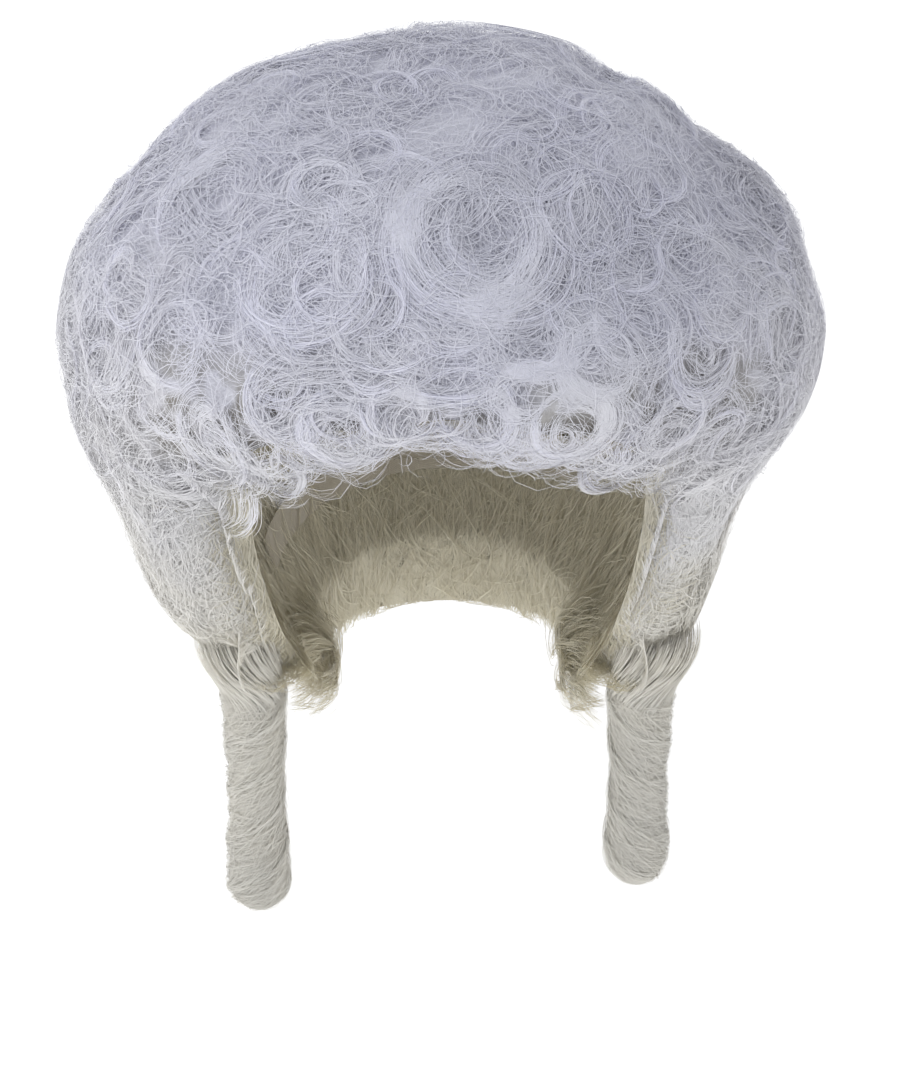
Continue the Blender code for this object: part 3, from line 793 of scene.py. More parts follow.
def soft_mass():
    """The soft mass below the hairs: the CAD's hair sections grown together, rounded and drawn in."""
    names = sorted(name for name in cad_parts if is_hair(name))
    verts, faces = [], []
    for name in names:
        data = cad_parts[name].data
        co, facing = np.zeros(len(data.vertices) * 3), np.zeros(len(data.vertices) * 3)
        data.vertices.foreach_get("co", co)
        data.vertices.foreach_get("normal", facing)
        swollen = co.reshape(-1, 3) + facing.reshape(-1, 3) * 1.3 * MM
        start = sum(len(v) for v in verts)
        verts.append(swollen)
        faces += [tuple(start + i for i in polygon.vertices) for polygon in data.polygons]
    mesh = bpy.data.meshes.new("hair_mass")
    mesh.from_pydata(np.concatenate(verts).tolist(), [], faces)
    mass = add_object("hair_mass", mesh, [])
    weld = mass.modifiers.new("weld", "WELD")
    weld.merge_threshold = 0.00001
    grown = mass.modifiers.new("grown", "REMESH")
    grown.mode, grown.voxel_size = "VOXEL", 2.6 * MM
    relaxed = mass.modifiers.new("relaxed", "SMOOTH")
    relaxed.factor, relaxed.iterations = 0.5, 10
    evaluated = mass.evaluated_get(bpy.context.evaluated_depsgraph_get())
    mesh = bpy.data.meshes.new_from_object(evaluated)
    mass.modifiers.clear()
    mass.data = mesh
    co = np.zeros(len(mesh.vertices) * 3)
    mesh.vertices.foreach_get("co", co)
    p = co.reshape(-1, 3) / MM
    phi, z, s = angle_of(p), p[:, 2], depth_in_hair(p)
    on, out = outer(p)
    sunk = on - out * (UNDER_DEPTH + RELIEF_LEVEL - lumps(on))[:, None]
    above = z - lower_edge(phi)
    outside = smooth_steps([(0.55, 0), (0.85, 1)], s) * smooth_steps([(2, 0), (16, 1)], above)
    p = p + (sunk - p) * outside[:, None]
    on, out = inner(p)
    inside = smooth_steps([(0.12, 1), (0.3, 0)], s) * (z < 60)
    p = p + (on - out * 0.5 - p) * inside[:, None]
    # Beside the face and near the lower edges the mass stays back, and only loose hair reaches the edge.
    phi, z, reach = angle_of(p), p[:, 2], np.hypot(p[:, 0], p[:, 1])
    around = np.abs(phi)
    back = smooth_steps([(FACE_EDGE - 2, 1), (FACE_EDGE + 28, 0)], around) * (around > FACE_EDGE - 4)
    back = back * (edge_turn(z) - FACE_EDGE + 4.5) * smooth_steps([(-10, 1), (12, 0)], z)
    middle = (head_reach(phi, z) + edge_reach(phi, np.maximum(z, ends_edge(phi)))) / 2
    reach = reach + (middle - reach) * 0.4 * smooth_steps([(4, 1), (26, 0)], above) * (around > FACE_EDGE)
    p = level_point(np.where(phi >= 0, 1, -1) * (around + back), reach, z)
    p[:, 2] += 6.0 * smooth_steps([(0, 1), (26, 0)], above)
    on = outer(p)[0]
    reach, far = np.hypot(p[:, 0], p[:, 1]), np.hypot(on[:, 0], on[:, 1]) - 3.2
    far = np.maximum(far, head_reach(angle_of(p), p[:, 2]) + 0.8)
    p[:, :2] *= np.where((p[:, 2] < LEVEL) & (reach > far), far / reach, 1.0)[:, None]
    mesh.vertices.foreach_set("co", (p * MM).ravel())
    mesh.update()
    mesh.materials.clear()
    mesh.materials.append(UNDER)
    mesh.materials.append(INNER_UNDER)
    count = len(mesh.polygons)
    centers, facing = np.zeros(count * 3), np.zeros(count * 3)
    mesh.polygons.foreach_get("center", centers)
    mesh.polygons.foreach_get("normal", facing)
    centers, facing = centers.reshape(-1, 3), facing.reshape(-1, 3)
    flat = np.maximum(np.hypot(centers[:, 0], centers[:, 1]), 0.02)[:, None]
    inward = (centers * np.array([1, 1, 0.3]) / flat * facing).sum(axis=1) < -0.45
    mesh.polygons.foreach_set("material_index", inward.astype(np.int32))
    mesh.shade_smooth()
    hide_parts(*names)
    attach(mass, "wig")


# ---------------------------------------------------------------- the hairs


def scattered(rng, count):
    """Places spread evenly over the hair's outside."""
    found, total = [], 0
    while total < count:
        m = count * 3
        guess = rng.normal(0, 1, (m, 3))
        guess /= np.linalg.norm(guess, axis=1, keepdims=True)
        upper = np.array([0, SHIFT, LEVEL]) + guess * np.array([HALF_WIDTH, HALF_DEPTH, RISE])
        z, phi = rng.uniform(-138, LEVEL, m), rng.uniform(-180, 180, m)
        lower = level_point(phi, hair_reach(phi, z), z)
        # The upper half has 2 pi R R of surface, and the narrower lower part about 2 pi 0.75 R h.
        pick = rng.uniform(0, 1, m) < 0.50
        p = np.where(pick[:, None], upper, lower)
        p = p[np.where(pick, p[:, 2] > LEVEL - 1, True) & (p[:, 2] > lower_edge(angle_of(p)) + 1)]
        found.append(p)
        total += len(p)
    return np.concatenate(found)[:count]


def airy(spots):
    """1 over the fringe, where the curls are thin and open, and 0 elsewhere."""
    beside = smooth_steps([(50, 1), (66, 0)], np.abs(angle_of(spots)))
    return beside * smooth_steps([(50, 1), (76, 0)], spots[..., 2])


def calm(spots):
    """1 where the hair hangs smooth, at the sides and back low down, and 0 where it is all curls."""
    around = np.abs(angle_of(spots))
    low = smooth_steps([(-62, 1), (12, 0)], spots[..., 2])
    return low * smooth_steps([(40, 0), (62, 1)], around)


def either_way(rng, low, high, count):
    """Radii from low to high, half of them negative, to bend either way."""
    return rng.uniform(low, high, count) * rng.choice([-1, 1], count)


def only(laid, chosen):
    """The chosen hairs among those laid."""
    return tuple(values[chosen] for values in laid)


class Hair:
    """The wig's hairs, gathered for each CAD node that they stand for."""

    def __init__(self):
        self.nodes = {}

    def add(self, laid, half_width, look=PLAIN_HAIR, node=None, top=0.6, lumpy=1.0, face=True):
        """Takes (points on a surface, outward directions, heights) and puts the hairs in their places.

        top is the greatest height, lumpy how far the hairs follow the relief, and face whether to leave
        out the hairs that would cross the face.
        """
        on, out, height = laid
        if lumpy:
            height = height + lumpy * (lumps(on) - RELIEF_LEVEL)
        points = on + out * np.minimum(height, top)[..., None]
        if face:
            phi, z = angle_of(on), on[..., 2]
            above = z > fringe_edge(phi) - 4
            beside = (np.abs(phi) > edge_turn(z) - 1) & (z > ends_edge(phi) - 2)
            keep = (above | beside).all(axis=1)
            points, out = points[keep], out[keep]
        if not len(points):
            return
        width = np.full(len(points), half_width)
        width *= np.random.default_rng(len(points)).uniform(0.75, 1.3, len(points))
        if node is None:
            owner = node_of(points[:, points.shape[1] // 2])
        else:
            owner = np.full(len(points), node, dtype=object)
        for name in sorted(set(owner)):
            mine = owner == name
            self.nodes.setdefault(name, []).append((points[mine], out[mine], width[mine], look))

    def build(self):
        for name in sorted(self.nodes):
            obj = add_object(name + "_strands", hair_mesh(name + "_strands", self.nodes[name]), LOOKS)
            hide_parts(name)
            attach(obj, "wig")


def cover_outside(hair):
    """Fuzz, locks and loose hairs over the whole outside."""
    rng = np.random.default_rng(3)
    spots = scattered(rng, 36000)
    spots = spots[rng.uniform(0, 1, len(spots)) > 0.55 * airy(spots)]
    n, still = len(spots), calm(spots)
    heading = rng.uniform(0, math.tau, n)
    down = -math.pi / 2 + rng.normal(0, 0.5, n)
    heading = np.where(rng.uniform(0, 1, n) < still * 0.75, down, heading)
    radius = either_way(rng, 6, 22, n) * (1 + 1.5 * still)
    length, lift = rng.uniform(14, 28, n), rng.uniform(-1.6, 1.7, n)
    laid = locks(rng, outer, spots, heading, length, 1 / radius, 1, 1.0, lift, points=7, wave=0.3)
    hair.add(laid, FINE, top=1.3)

    spots = scattered(rng, 1150)
    spots = spots[rng.uniform(0, 1, len(spots)) > 0.6 * airy(spots)]
    n, still = len(spots), calm(spots)
    heading = -math.pi / 2 + rng.normal(0, 1, n) * (1.3 - 1.0 * still)
    radius = either_way(rng, 9, 26, n) * (1 + 2.5 * still)
    length, spread, lift = rng.uniform(34, 60, n), rng.uniform(5, 12, n), rng.uniform(-1.6, 0.6, n)
    laid = locks(rng, outer, spots, heading, length, 1 / radius, 20, spread, lift, wave=0.25)
    hair.add(laid, FINE)

    # Wisps that trace loops, in the brighter tone of the painted highlight.
    spots = scattered(rng, 260)
    spots = spots[calm(spots) < 0.5]
    n = len(spots)
    radius = either_way(rng, 8, 20, n)
    heading, length = rng.uniform(0, math.tau, n), np.abs(radius) * rng.uniform(2.2, 4.4, n)
    spread, lift = rng.uniform(2.5, 5, n), rng.uniform(-0.4, 1.0, n)
    how = dict(wave=0.08, tight=0.2, points=13)
    laid = locks(rng, outer, spots, heading, length, 1 / radius, 16, spread, lift, **how)
    hair.add(laid, FINE, PAINTED_HIGHLIGHT_HAIR)


# Curls with their own place on the hair: CAD node or None, phi, height, half width, half height, arcs,
# and the rest of what curl takes.
CURLS = [
    ("crown_curl_large", 9, 103, 30, 29, 44, dict(start=70, sweep=320, gleam=0.5, lift=-0.1)),
    (None, 12, 104, 17, 19, 14, dict(start=100, sweep=240)),
    ("crown_curl_right", -30, 90, 23, 22, 32, dict(start=170, sweep=250, gleam=0.55)),
    (None, -38, 110, 14, 13, 18, dict(start=20, sweep=270)),
    (None, -62, 97, 22, 25, 20, dict(start=30, sweep=220)),
    ("crown_curl_left", 38, 76, 19, 20, 22, dict(start=200, sweep=280, turn=-1)),
    (None, 28, 68, 14, 15, 16, dict(start=60, sweep=280)),
    (None, 49, 60, 17, 17, 16, dict(start=20, sweep=240, turn=-1)),
    ("fringe_curl_center", 6, 52, 13, 14, 18, dict(start=170, sweep=240, gleam=0.2)),
    ("fringe_curl_left", 22, 47, 14, 14, 18, dict(start=150, sweep=290, gleam=0.15)),
    ("fringe_curl_right", -19, 46, 15, 15, 22, dict(start=100, sweep=330, gleam=0.6)),
    (None, -28, 52, 15, 21, 14, dict(start=120, sweep=250)),
    ("temple_curl_left", 41, 37, 15, 16, 18, dict(start=160, sweep=280)),
    ("temple_curl_right", -42, 32, 11, 21, 22, dict(start=140, sweep=270, gleam=0.7)),
    ("side_curl_left", 68, 48, 20, 20, 18, dict(start=200, sweep=270, turn=-1)),
    ("side_curl_right", -68, 46, 20, 20, 18, dict(start=160, sweep=270)),
    (None, 0, 68, 22, 12, 14, dict(start=180, sweep=190)),
    (None, 17, 78, 20, 14, 14, dict(start=190, sweep=200)),
    (None, -12, 74, 19, 16, 12, dict(start=150, sweep=230)),
    (None, 14, 60, 12, 11, 14, dict(start=10, sweep=280)),
    (None, -8, 54, 12, 12, 14, dict(start=60, sweep=290)),
    (None, -52, 62, 17, 18, 12, dict(start=60, sweep=240)),
    (None, 58, 86, 19, 19, 12, dict(start=60, sweep=240)),
    (None, -71, 69, 8, 10, 8, dict(start=0, sweep=320)),
    (None, 31, 22, 11, 12, 12, dict(start=120, sweep=300, gleam=0.15)),
    (None, -32, 22, 11, 12, 12, dict(start=120, sweep=300, gleam=0.15)),
]


def more_curls():
    """Curls all over the sides, back and crown, where none has a place of its own."""
    rng = np.random.default_rng(61)
    spots = scattered(rng, 300)
    taken = [(outer_point(phi, z)[0], max(wide, high)) for _, phi, z, wide, high, _, _ in CURLS]
    for spot in spots[(calm(spots) < 0.35) & (spots[:, 2] < 122)]:
        size = rng.uniform(13, 23)
        if all(np.linalg.norm(spot - other) > 0.72 * (size + radius) for other, radius in taken):
            taken.append((spot, size))
            how = dict(start=rng.uniform(0, 360), sweep=rng.uniform(160, 260))
            how.update(turn=rng.choice([-1, 1]), gleam=0.12)
            high = size * rng.uniform(0.75, 1.3)
            CURLS.append((None, float(angle_of(spot)), float(spot[2]), size, high, 7, how))


def place_curls():
    """Fills in every curl's place, and the relief that it gives the hair."""
    own = len(CURLS)
    more_curls()
    for i, (_, phi, z, wide, high, _, _) in enumerate(CURLS):
        CURL_RELIEF.append((outer_point(phi, z)[0], (wide + high) / 2, 1.0 if i < own else 0.45))


def curls(hair):
    for i, (name, phi, z, wide, high, arcs, how) in enumerate(CURLS):
        rng = np.random.default_rng(100 + i)
        laid, gleam = curl(rng, outer, phi, z, (wide, high), arcs, **how)
        for look, mine in ((PAINTED_HIGHLIGHT_HAIR, gleam), (PLAIN_HAIR, ~gleam)):
            if mine.any():
                hair.add(only(laid, mine), FINE, look, node=name, top=0.9, face=False)


def fringe_hairs(hair):
    """Curly ends along the fringe: small loops and stray hairs that hang just below its edge."""
    rng = np.random.default_rng(21)
    n = 200
    phi = rng.uniform(-56, 56, n)
    z = fringe_edge(phi) + rng.uniform(0, 12, n)
    spots = level_point(phi, hair_reach(phi, z), z)
    back = rng.uniform(0, 1, n) < 0.5
    radius = rng.uniform(5, 13, n) * np.where(back, -1, 1)
    heading = rng.normal(0, 0.45, n) + np.where(back, math.pi, 0)
    length = np.abs(radius) * rng.uniform(2.0, 4.4, n)
    spread, lift = rng.uniform(1.5, 4, n), rng.uniform(-0.5, 2.0, n)
    how = dict(wave=0.12, loose=0.14)
    laid = locks(rng, outer, spots, heading, length, 1 / radius, 7, spread, lift, **how)
    hair.add(laid, FINE, PLAIN_HAIR, face=False)
    n = 380
    phi = rng.uniform(-58, 58, n)
    z = fringe_edge(phi) + rng.uniform(-2, 9, n)
    spots = level_point(phi, hair_reach(phi, z), z)
    radius = either_way(rng, 4, 14, n)
    heading, length = rng.uniform(0, math.tau, n), rng.uniform(9, 22, n)
    lift = rng.uniform(-2, 1.0, n)
    laid = locks(rng, outer, spots, heading, length, 1 / radius, 1, 1.0, lift, points=9, wave=0.5)
    hair.add(laid, WISPY, PLAIN_HAIR, face=False)


def wall_hairs(hair):
    """Hair that hangs down the edges beside the face."""
    for i, side in enumerate(SIDES):
        rng = np.random.default_rng(31 + i)
        n = 3000
        z, s = rng.uniform(-104, 2, n), rng.uniform(0, 0.86, n)
        phi = np.full(n, FACE_EDGE) * SIDES[side]
        reach = head_reach(phi, z) + (edge_reach(phi, z) - head_reach(phi, z)) * s
        spots = level_point(phi, reach, z)
        radius = either_way(rng, 14, 50, n)
        heading = -math.pi / 2 + rng.normal(0, 0.45, n)
        length, lift = rng.uniform(18, 40, n), rng.uniform(-2.4, -0.4, n)
        laid = locks(rng, wall_of(side), spots, heading, length, 1 / radius, 2, 3.0, lift, points=9)
        on, out, height = laid
        share = np.hypot(on[..., 0], on[..., 1]) - head_reach(FACE_EDGE, on[..., 2])
        height = height + (lumps(on) - 1.6) * smooth_steps([(8, 0), (30, 1)], share)
        height = height - 1.2 * np.repeat(smooth_steps([(0.6, 0), (0.86, 1)], s), 2)[:, None]
        look = np.where(s < rng.uniform(0.1, 0.6, n), INSIDE_HAIR, PLAIN_HAIR)
        for each in (PLAIN_HAIR, INSIDE_HAIR):
            part = only((on, out, height), np.repeat(look == each, 2))
            hair.add(part, STURDY, each, node=f"temple_lock_{side}", lumpy=0, face=False)

        # Hairs that cross the edge's outer corner.
        n = 900
        z = rng.uniform(-100, 8, n)
        phi = edge_turn(z) + rng.uniform(-3, 12, n)
        spots = level_point(phi * SIDES[side], edge_reach(phi * SIDES[side], z), z)
        radius = either_way(rng, 10, 40, n)
        heading = -math.pi / 2 + rng.normal(0, 0.8, n)
        length, lift = rng.uniform(14, 28, n), rng.uniform(-1.2, 0.9, n)
        laid = locks(rng, outer, spots, heading, length, 1 / radius, 2, 2.5, lift, points=9)
        kept = (np.abs(angle_of(laid[0])) > edge_turn(laid[0][..., 2]) - 7).all(axis=1)
        hair.add(only(laid, kept), FINE, PLAIN_HAIR, node=f"temple_lock_{side}", face=False)


def inside_hairs(hair):
    """Hair seen from inside: it hangs from the wefts in the cap, and lines the hair below it."""
    rng = np.random.default_rng(51)
    n = 12000
    z, phi = rng.uniform(-134, 84, n), rng.uniform(-180, 180, n)
    keep = z > np.where(np.abs(phi) < FACE_EDGE + 2, cap_edge(phi) - 3, ends_edge(phi) + 2)
    z, phi = z[keep], phi[keep]
    n = len(z)
    spots = level_point(phi, head_reach(phi, z), z)
    in_cap = z > cap_edge(phi) - 4
    radius = either_way(rng, 14, 60, n)
    heading = -math.pi / 2 + rng.normal(0, 0.5, n)
    lift = np.where(in_cap, rng.uniform(-0.5, 0.1, n), rng.uniform(-0.5, 2.2, n))
    length, how = rng.uniform(16, 34, n), dict(points=8, keep=0.4, arch=0.2)
    laid = locks(rng, inner, spots, heading, length, 1 / radius, 2, 3.0, lift, **how)
    on, out, height = laid
    low = on[..., 2] < cap_edge(angle_of(on)) - 5
    height = np.where(low, height, np.minimum(height, 0.3))
    face = (np.abs(angle_of(on)) > FACE_EDGE) | (on[..., 2] > cap_edge(angle_of(on)) - 6)
    part = only((on, out, height), face.all(axis=1))
    hair.add(part, COARSE, INSIDE_HAIR, lumpy=0, top=3.5, face=False)

    # Loose locks that hang on the inside, beside and behind the neck.
    n = 54
    phi = wrapped(np.concatenate([rng.uniform(81, 108, n), rng.uniform(252, 279, n)]))
    n = 2 * n
    z = rng.uniform(-127, -108, n)
    spots = level_point(phi, head_reach(phi, z), z)
    bend = rng.choice([-1, 1], n) / rng.uniform(10, 24, n)
    heading, length = -math.pi / 2 + rng.normal(0, 0.5, n), rng.uniform(24, 44, n)
    spread, lift = rng.uniform(4, 8, n), rng.uniform(1, 13, n)
    laid = locks(rng, inner, spots, heading, length, bend, 22, spread, lift, wave=0.25, keep=9.0)
    hair.add(laid, STURDY, INSIDE_HAIR, lumpy=0, top=14.0, face=False)


def underside_hairs(hair):
    """Hair ends on the underside of the side and back hair, and tips that hang just below its edges."""
    rng = np.random.default_rng(71)
    n = 4200
    phi = wrapped(rng.uniform(FACE_EDGE + 1, 359 - FACE_EDGE, n))
    z = ends_edge(phi)
    near, far = head_reach(phi, z), edge_reach(phi, z)
    spots = level_point(phi, near + (far - near) * rng.uniform(0, 1, n), z)
    radius = either_way(rng, 6, 24, n)
    heading, length = rng.uniform(0, math.tau, n), rng.uniform(12, 24, n)
    lift = rng.uniform(-4.5, -0.5, n)
    laid = locks(rng, under_ends, spots, heading, length, 1 / radius, 2, 2.0, lift, points=8)
    kept = (np.abs(angle_of(laid[0])) > FACE_EDGE + 2).all(axis=1)
    hair.add(only(laid, kept), COARSE, INSIDE_HAIR, lumpy=0, top=0.0, face=False)

    # Tips: curved locks that follow the hair down, inside and out.
    for surface, look, lift in ((outer, PLAIN_HAIR, -1.2), (inner, INSIDE_HAIR, 0.6)):
        n = 620
        phi = wrapped(rng.uniform(FACE_EDGE + 3, 357 - FACE_EDGE, n))
        z = ends_edge(phi) + rng.uniform(6, 22, n)
        spots = level_point(phi, hair_reach(phi, z), z)
        heading = -math.pi / 2 + rng.normal(0, 0.35, n)
        length = 2 * (z - ends_edge(phi)) + rng.uniform(-4, 1, n)
        bend = rng.choice([-1, 1], n) / rng.uniform(16, 60, n)
        spread = rng.uniform(3, 7, n)
        laid = locks(rng, surface, spots, heading, length, bend, 12, spread, lift, wave=0.2, keep=0.8)
        phi, z = angle_of(laid[0]), laid[0][..., 2]
        kept = ((z > ends_edge(phi) - 0.5) & (np.abs(phi) > FACE_EDGE + 1)).all(axis=1)
        hair.add(only(laid, kept), STURDY, look, lumpy=0, face=False)


def collar_hairs(hair):
    """Locks that draw together from the side hair's end to each ringlet's top, and hide the knot."""
    for i, (side, sign) in enumerate(SIDES.items()):
        rng = np.random.default_rng(81 + i)
        x, y, z = PIVOT[side]
        n, k = 2600, 10
        t = np.linspace(0, 1, k)[None, :]
        turn = rng.uniform(0, math.tau, n)
        share = np.sqrt(rng.uniform(0.2, 1, n))
        top, bottom = z + rng.uniform(14, 34, n), z - rng.uniform(-2, 9, n)
        level = top[:, None] + (bottom - top)[:, None] * t
        gather = smooth_steps([(-2, 0), (26, 1)], level - z)
        facing = math.radians(69)
        radial = np.array([math.sin(facing) * sign, -math.cos(facing)])
        tangent = np.array([-radial[1], radial[0]])
        wind = turn[:, None] + sign * 0.9 * t
        narrow = RINGLET_RADIUS * 0.9
        along = (narrow + (17 - narrow) * gather) * share[:, None] * np.cos(wind)
        across = (narrow + (16 - narrow) * gather) * share[:, None] * np.sin(wind) + 6.0 * gather
        flat = np.array([x, y]) + along[..., None] * tangent + across[..., None] * radial
        points = np.concatenate([flat, level[..., None]], axis=-1)
        out = points - np.array([x, y, 0]) * np.array([1, 1, 0])
        out[..., 2] = 0
        out /= np.maximum(np.linalg.norm(out, axis=-1, keepdims=True), 1e-6)
        laid = points, out, np.zeros((n, k))
        hair.add(laid, COARSE, node=f"temple_lock_{side}", lumpy=0, face=False)


# ---------------------------------------------------------------- ringlets


def ringlets():
    for i, (side, sign) in enumerate(SIDES.items()):
        rng = np.random.default_rng(40 + i)
        x, y, z = PIVOT[side]
        length = RINGLET_LENGTH[side]
        # The core: rings of points down the ringlet, closed at its ends.
        straight = np.linspace(-RINGLET_RADIUS * 0.8, length - 16, 44)
        rounded = length - 16 * (1 - np.sin(np.linspace(0.1, math.pi / 2, 12)))
        downs = np.concatenate([straight, rounded])
        turns = np.linspace(0, math.tau, 48, endpoint=False)
        down, turn = np.meshgrid(downs, turns, indexing="ij")
        rough = np.stack([x + np.cos(turn), y + np.sin(turn), z - down], axis=-1)
        core = ringlet_shape(side, 0.86)(rough)[0]
        core[0] = core[0] * 0.02 + np.array([x, y, z - downs[0]]) * 0.98
        core[-1] = core[-1] * 0.02 + np.array([x, y, z - length + 1.2]) * 0.98
        rows, cols = down.shape
        a = np.arange(rows - 1)[:, None] * cols + np.arange(cols)[None, :]
        b = np.arange(rows - 1)[:, None] * cols + (np.arange(cols)[None, :] + 1) % cols
        quads = np.stack([a, a + cols, b + cols, b], axis=2).reshape(-1, 4)
        mesh = mesh_from(f"{side}_ringlet_mass", core.reshape(-1, 3), quads)
        mass = add_object(f"{side}_ringlet_mass", mesh, [UNDER])

        n = 4200
        down = rng.uniform(-9, length - 1, n)
        turn = rng.uniform(0, math.tau, n)
        spots = np.stack([x + np.cos(turn), y + np.sin(turn), z - down], axis=-1)
        lean = -math.pi / 2 + sign * RINGLET_LEAN
        heading, run = lean + rng.normal(0, 0.35, n), rng.uniform(12, 22, n)
        curve, lift = -sign / rng.uniform(40, 200, n), rng.uniform(-2.0, -0.4, n)
        shape, how = ringlet_shape(side), dict(points=9, keep=0.9, arch=0.0)
        on, out, height = locks(rng, shape, spots, heading, run, curve, 1, 1.0, lift, **how)
        points = on + out * np.minimum(height, 0.3)[..., None]
        groups = [(points, out, np.full(n, FINE), PLAIN_HAIR)]

        # Faint twisted stripes: locks that stand a little higher, in the brighter tone of the painted
        # highlight.
        n = 46
        down = np.linspace(-4, length - 6, n)
        turn = sign * math.tau * down / RINGLET_PITCH + math.pi * (np.arange(n) % 2) + rng.normal(0, 0.2, n)
        spots = np.stack([x + np.cos(turn), y + np.sin(turn), z - down], axis=-1)
        how = dict(points=9, keep=1.0, arch=0.3)
        on, out, height = locks(rng, shape, spots, lean, 24.0, 0.0, 14, 4.0, -1.2, **how)
        points = on + out * np.minimum(height, 0.3)[..., None]
        groups.append((points, out, np.full(len(on), FINE), PAINTED_HIGHLIGHT_HAIR))
        strands = add_object(f"{side}_ringlet_strands", hair_mesh(f"{side}_ringlet_strands", groups), LOOKS)
        for obj in (mass, strands):
            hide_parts(f"{side}_ringlet_upper", f"{side}_ringlet_lower")
            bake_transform(obj)


# ---------------------------------------------------------------- the cap


def dress_cap():
    looks = [
        ("weft_track", WEFT),
        ("_ribbon", ELASTIC),
        ("_band", BAND),
        ("_ear_tab", BAND),
        ("crown_net", BAND),
        ("_strap", ELASTIC),
        ("_tape", ELASTIC),
        ("_sleeve", ELASTIC),
        ("_stay", PLASTIC),
        ("_hook", STEEL),
        ("_knot", WEFT),
    ]
    for name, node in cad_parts.items():
        for part, mat in looks:
            if part in name:
                node.data.materials.clear()
                node.data.materials.append(mat)
                break


def on_head(phi, z, offset):
    """A point this far outside the head form."""
    return level_point(phi, head_reach(phi, z, offset), z)


def cap_threads():
    """Stitching: zigzags along the wefts and two rows of running stitches along the bands."""
    lines = []
    for level in (80, 62, 42, 20, -5, -30, -55):
        start = next(phi for phi in range(0, 180, 2) if cap_edge(np.array([phi]))[0] + 3 < level) + 2
        for shift in (-0.8, 0.8):
            steps = int((360 - 2 * start) / 1.3)
            phi = wrapped(np.linspace(start, 360 - start, steps))
            z = level + shift + 0.45 * np.where(np.arange(steps) % 2, 1, -1)
            lines.append(on_head(phi, z, 4.5))
    sewn = tube_mesh("weft_stitching", lines, 0.14, 4)
    lines = []
    for rise in (1.6, 10.4):
        for phi in np.arange(-180, 180, 2.6):
            at = np.array([phi, phi + 0.8, phi + 1.6])
            z = cap_edge(at) + rise
            lines.append(on_head(at, z, 3.2))
    bands = tube_mesh("band_stitching", lines, 0.22, 5)
    for mesh, name, slot in ((sewn, "weft_stitching", "weft"), (bands, "band_stitching", "cap_band")):
        obj = add_object(name, mesh, [THREAD])
        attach(obj, "wig")


def crown_net():
    """The net over the crown: crossing threads with small square holes, bound at the rim."""
    low, offset = math.radians(43), 3.7
    wide, deep, high = HEAD_WIDTH + offset, HEAD_DEPTH + offset, HEAD_CROWN + offset
    reach = math.cos(low)
    lines = []
    for turn in (0.79, -0.79):
        for across in np.arange(-0.735, 0.736, 0.042):
            half = math.sqrt(max(reach**2 - across**2, 0))
            if half < 0.03:
                continue
            along = np.linspace(-half, half, max(4, int(half * 60)))
            x = along * math.cos(turn) - across * math.sin(turn)
            y = along * math.sin(turn) + across * math.cos(turn)
            z = np.sqrt(np.clip(1 - x**2 - y**2, 0, 1))
            lines.append(np.stack([x * wide, y * deep, z * high], axis=1))
    net = add_object("crown_net_threads", tube_mesh("crown_net_threads", lines, 0.28, 4), [THREAD])
    turn = np.linspace(0, math.tau, 145)
    level = 0 * turn + high * math.sin(low)
    rim = np.stack([np.sin(turn) * wide * reach, np.cos(turn) * deep * reach, level], axis=1)
    rims = [rim + np.array([0, 0, rise]) for rise in (0.2, 1.0)]
    binding = add_object("crown_net_binding", tube_mesh("crown_net_binding", rims, 0.42, 6), [ELASTIC])
    for obj in (net, binding):
        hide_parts("crown_net")
        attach(obj, "wig")


# ---------------------------------------------------------------- camera, light and floor


# The height of what the camera sees at the wig, and the height of the floor, in metres.
VIEW_HEIGHT, FLOOR = 0.38664, -0.235


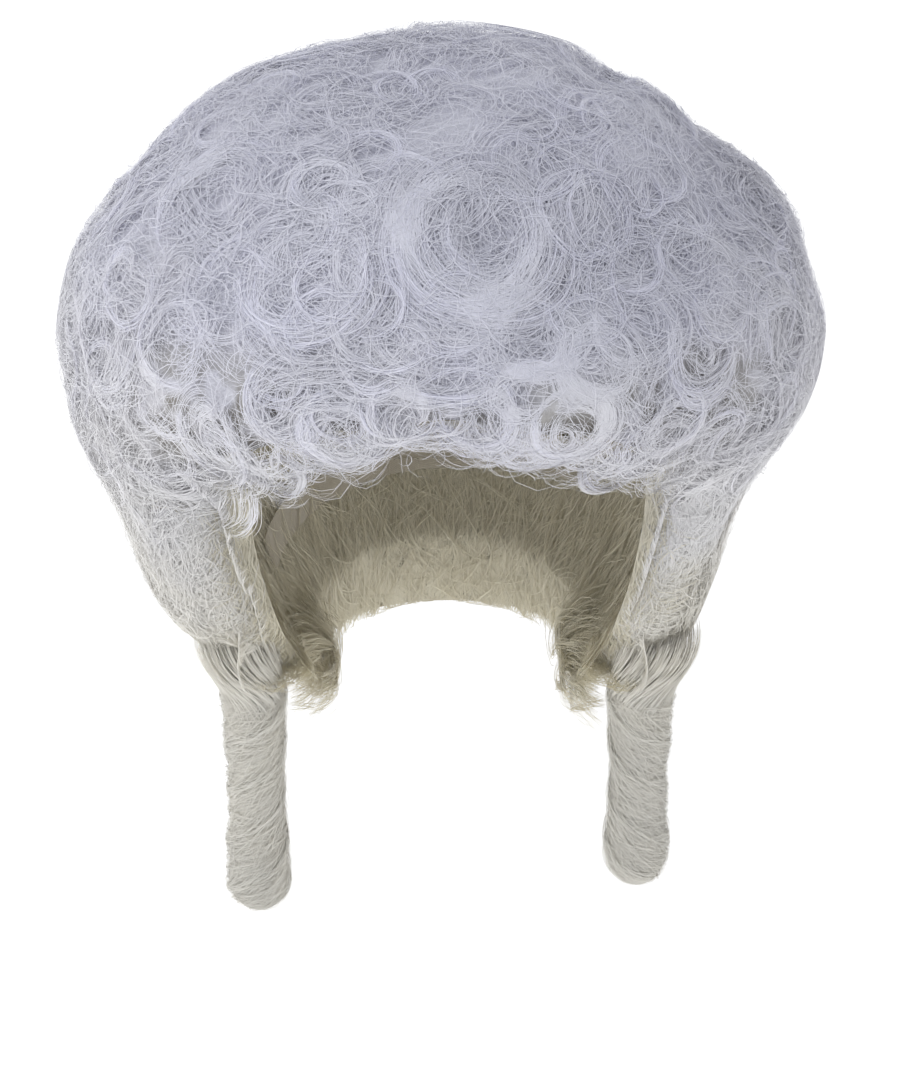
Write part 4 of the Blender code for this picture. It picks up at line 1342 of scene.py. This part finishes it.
def studio():
    scene = bpy.context.scene
    scene.view_settings.view_transform = "Standard"
    scene.view_settings.look = "None"
    elevation, distance, sensor = math.radians(33), 1.6, 36
    aim = Vector((0.002, -0.0296, -0.0456))
    back = Vector((0, -math.cos(elevation), math.sin(elevation)))
    cam_data = bpy.data.cameras.new("camera")
    cam_data.lens = sensor * distance / VIEW_HEIGHT
    cam_data.sensor_width = sensor
    cam_data.clip_end = 20
    cam = bpy.data.objects.new("camera", cam_data)
    cam.location = aim + back * distance
    cam.rotation_euler = (-back).to_track_quat("-Z", "Y").to_euler()
    scene.collection.objects.link(cam)
    scene.camera = cam

    floor_mat, tree, shader = nodes_of("floor")
    shader.inputs["Base Color"].default_value = (0.9, 0.9, 0.9, 1)
    shader.inputs["Roughness"].default_value = 0.9
    shader.inputs["Emission Color"].default_value = (1, 1, 1, 1)
    shader.inputs["Emission Strength"].default_value = 0.55
    bpy.ops.mesh.primitive_plane_add(size=12, location=(0, 0, FLOOR))
    floor = bpy.context.object
    floor.name = "floor"
    floor.data.materials.append(floor_mat)

    def area(name, place, size, power, color):
        light = bpy.data.lights.new(name, "AREA")
        light.shape = "RECTANGLE"
        light.size, light.size_y = size
        light.energy = power
        light.color = color
        obj = bpy.data.objects.new(name, light)
        obj.location = place
        obj.rotation_euler = (-Vector(place)).to_track_quat("-Z", "Y").to_euler()
        scene.collection.objects.link(obj)

    area("key", (-0.6, -0.9, 1.6), (1.4, 1.4), 13, (0.95, 0.97, 1.0))
    area("side", (-1.5, -0.3, 0.5), (1.2, 1.2), 6, (1.0, 0.99, 0.96))
    area("fill", (1.4, -0.9, 0.6), (1.4, 1.2), 3, (1.0, 0.99, 0.97))
    area("back", (0.2, 1.5, 0.9), (1.6, 1.0), 6, (1.0, 0.99, 0.97))
    world = bpy.data.worlds.new("studio")
    world.use_nodes = True
    world.node_tree.nodes["Background"].inputs[0].default_value = (0.95, 0.97, 1.0, 1)
    world.node_tree.nodes["Background"].inputs[1].default_value = 0.35
    scene.world = world


studio()
dress_cap()
cap_threads()
crown_net()
place_curls()
soft_mass()
hair = Hair()
cover_outside(hair)
curls(hair)
fringe_hairs(hair)
wall_hairs(hair)
inside_hairs(hair)
underside_hairs(hair)
collar_hairs(hair)
hair.build()
ringlets()
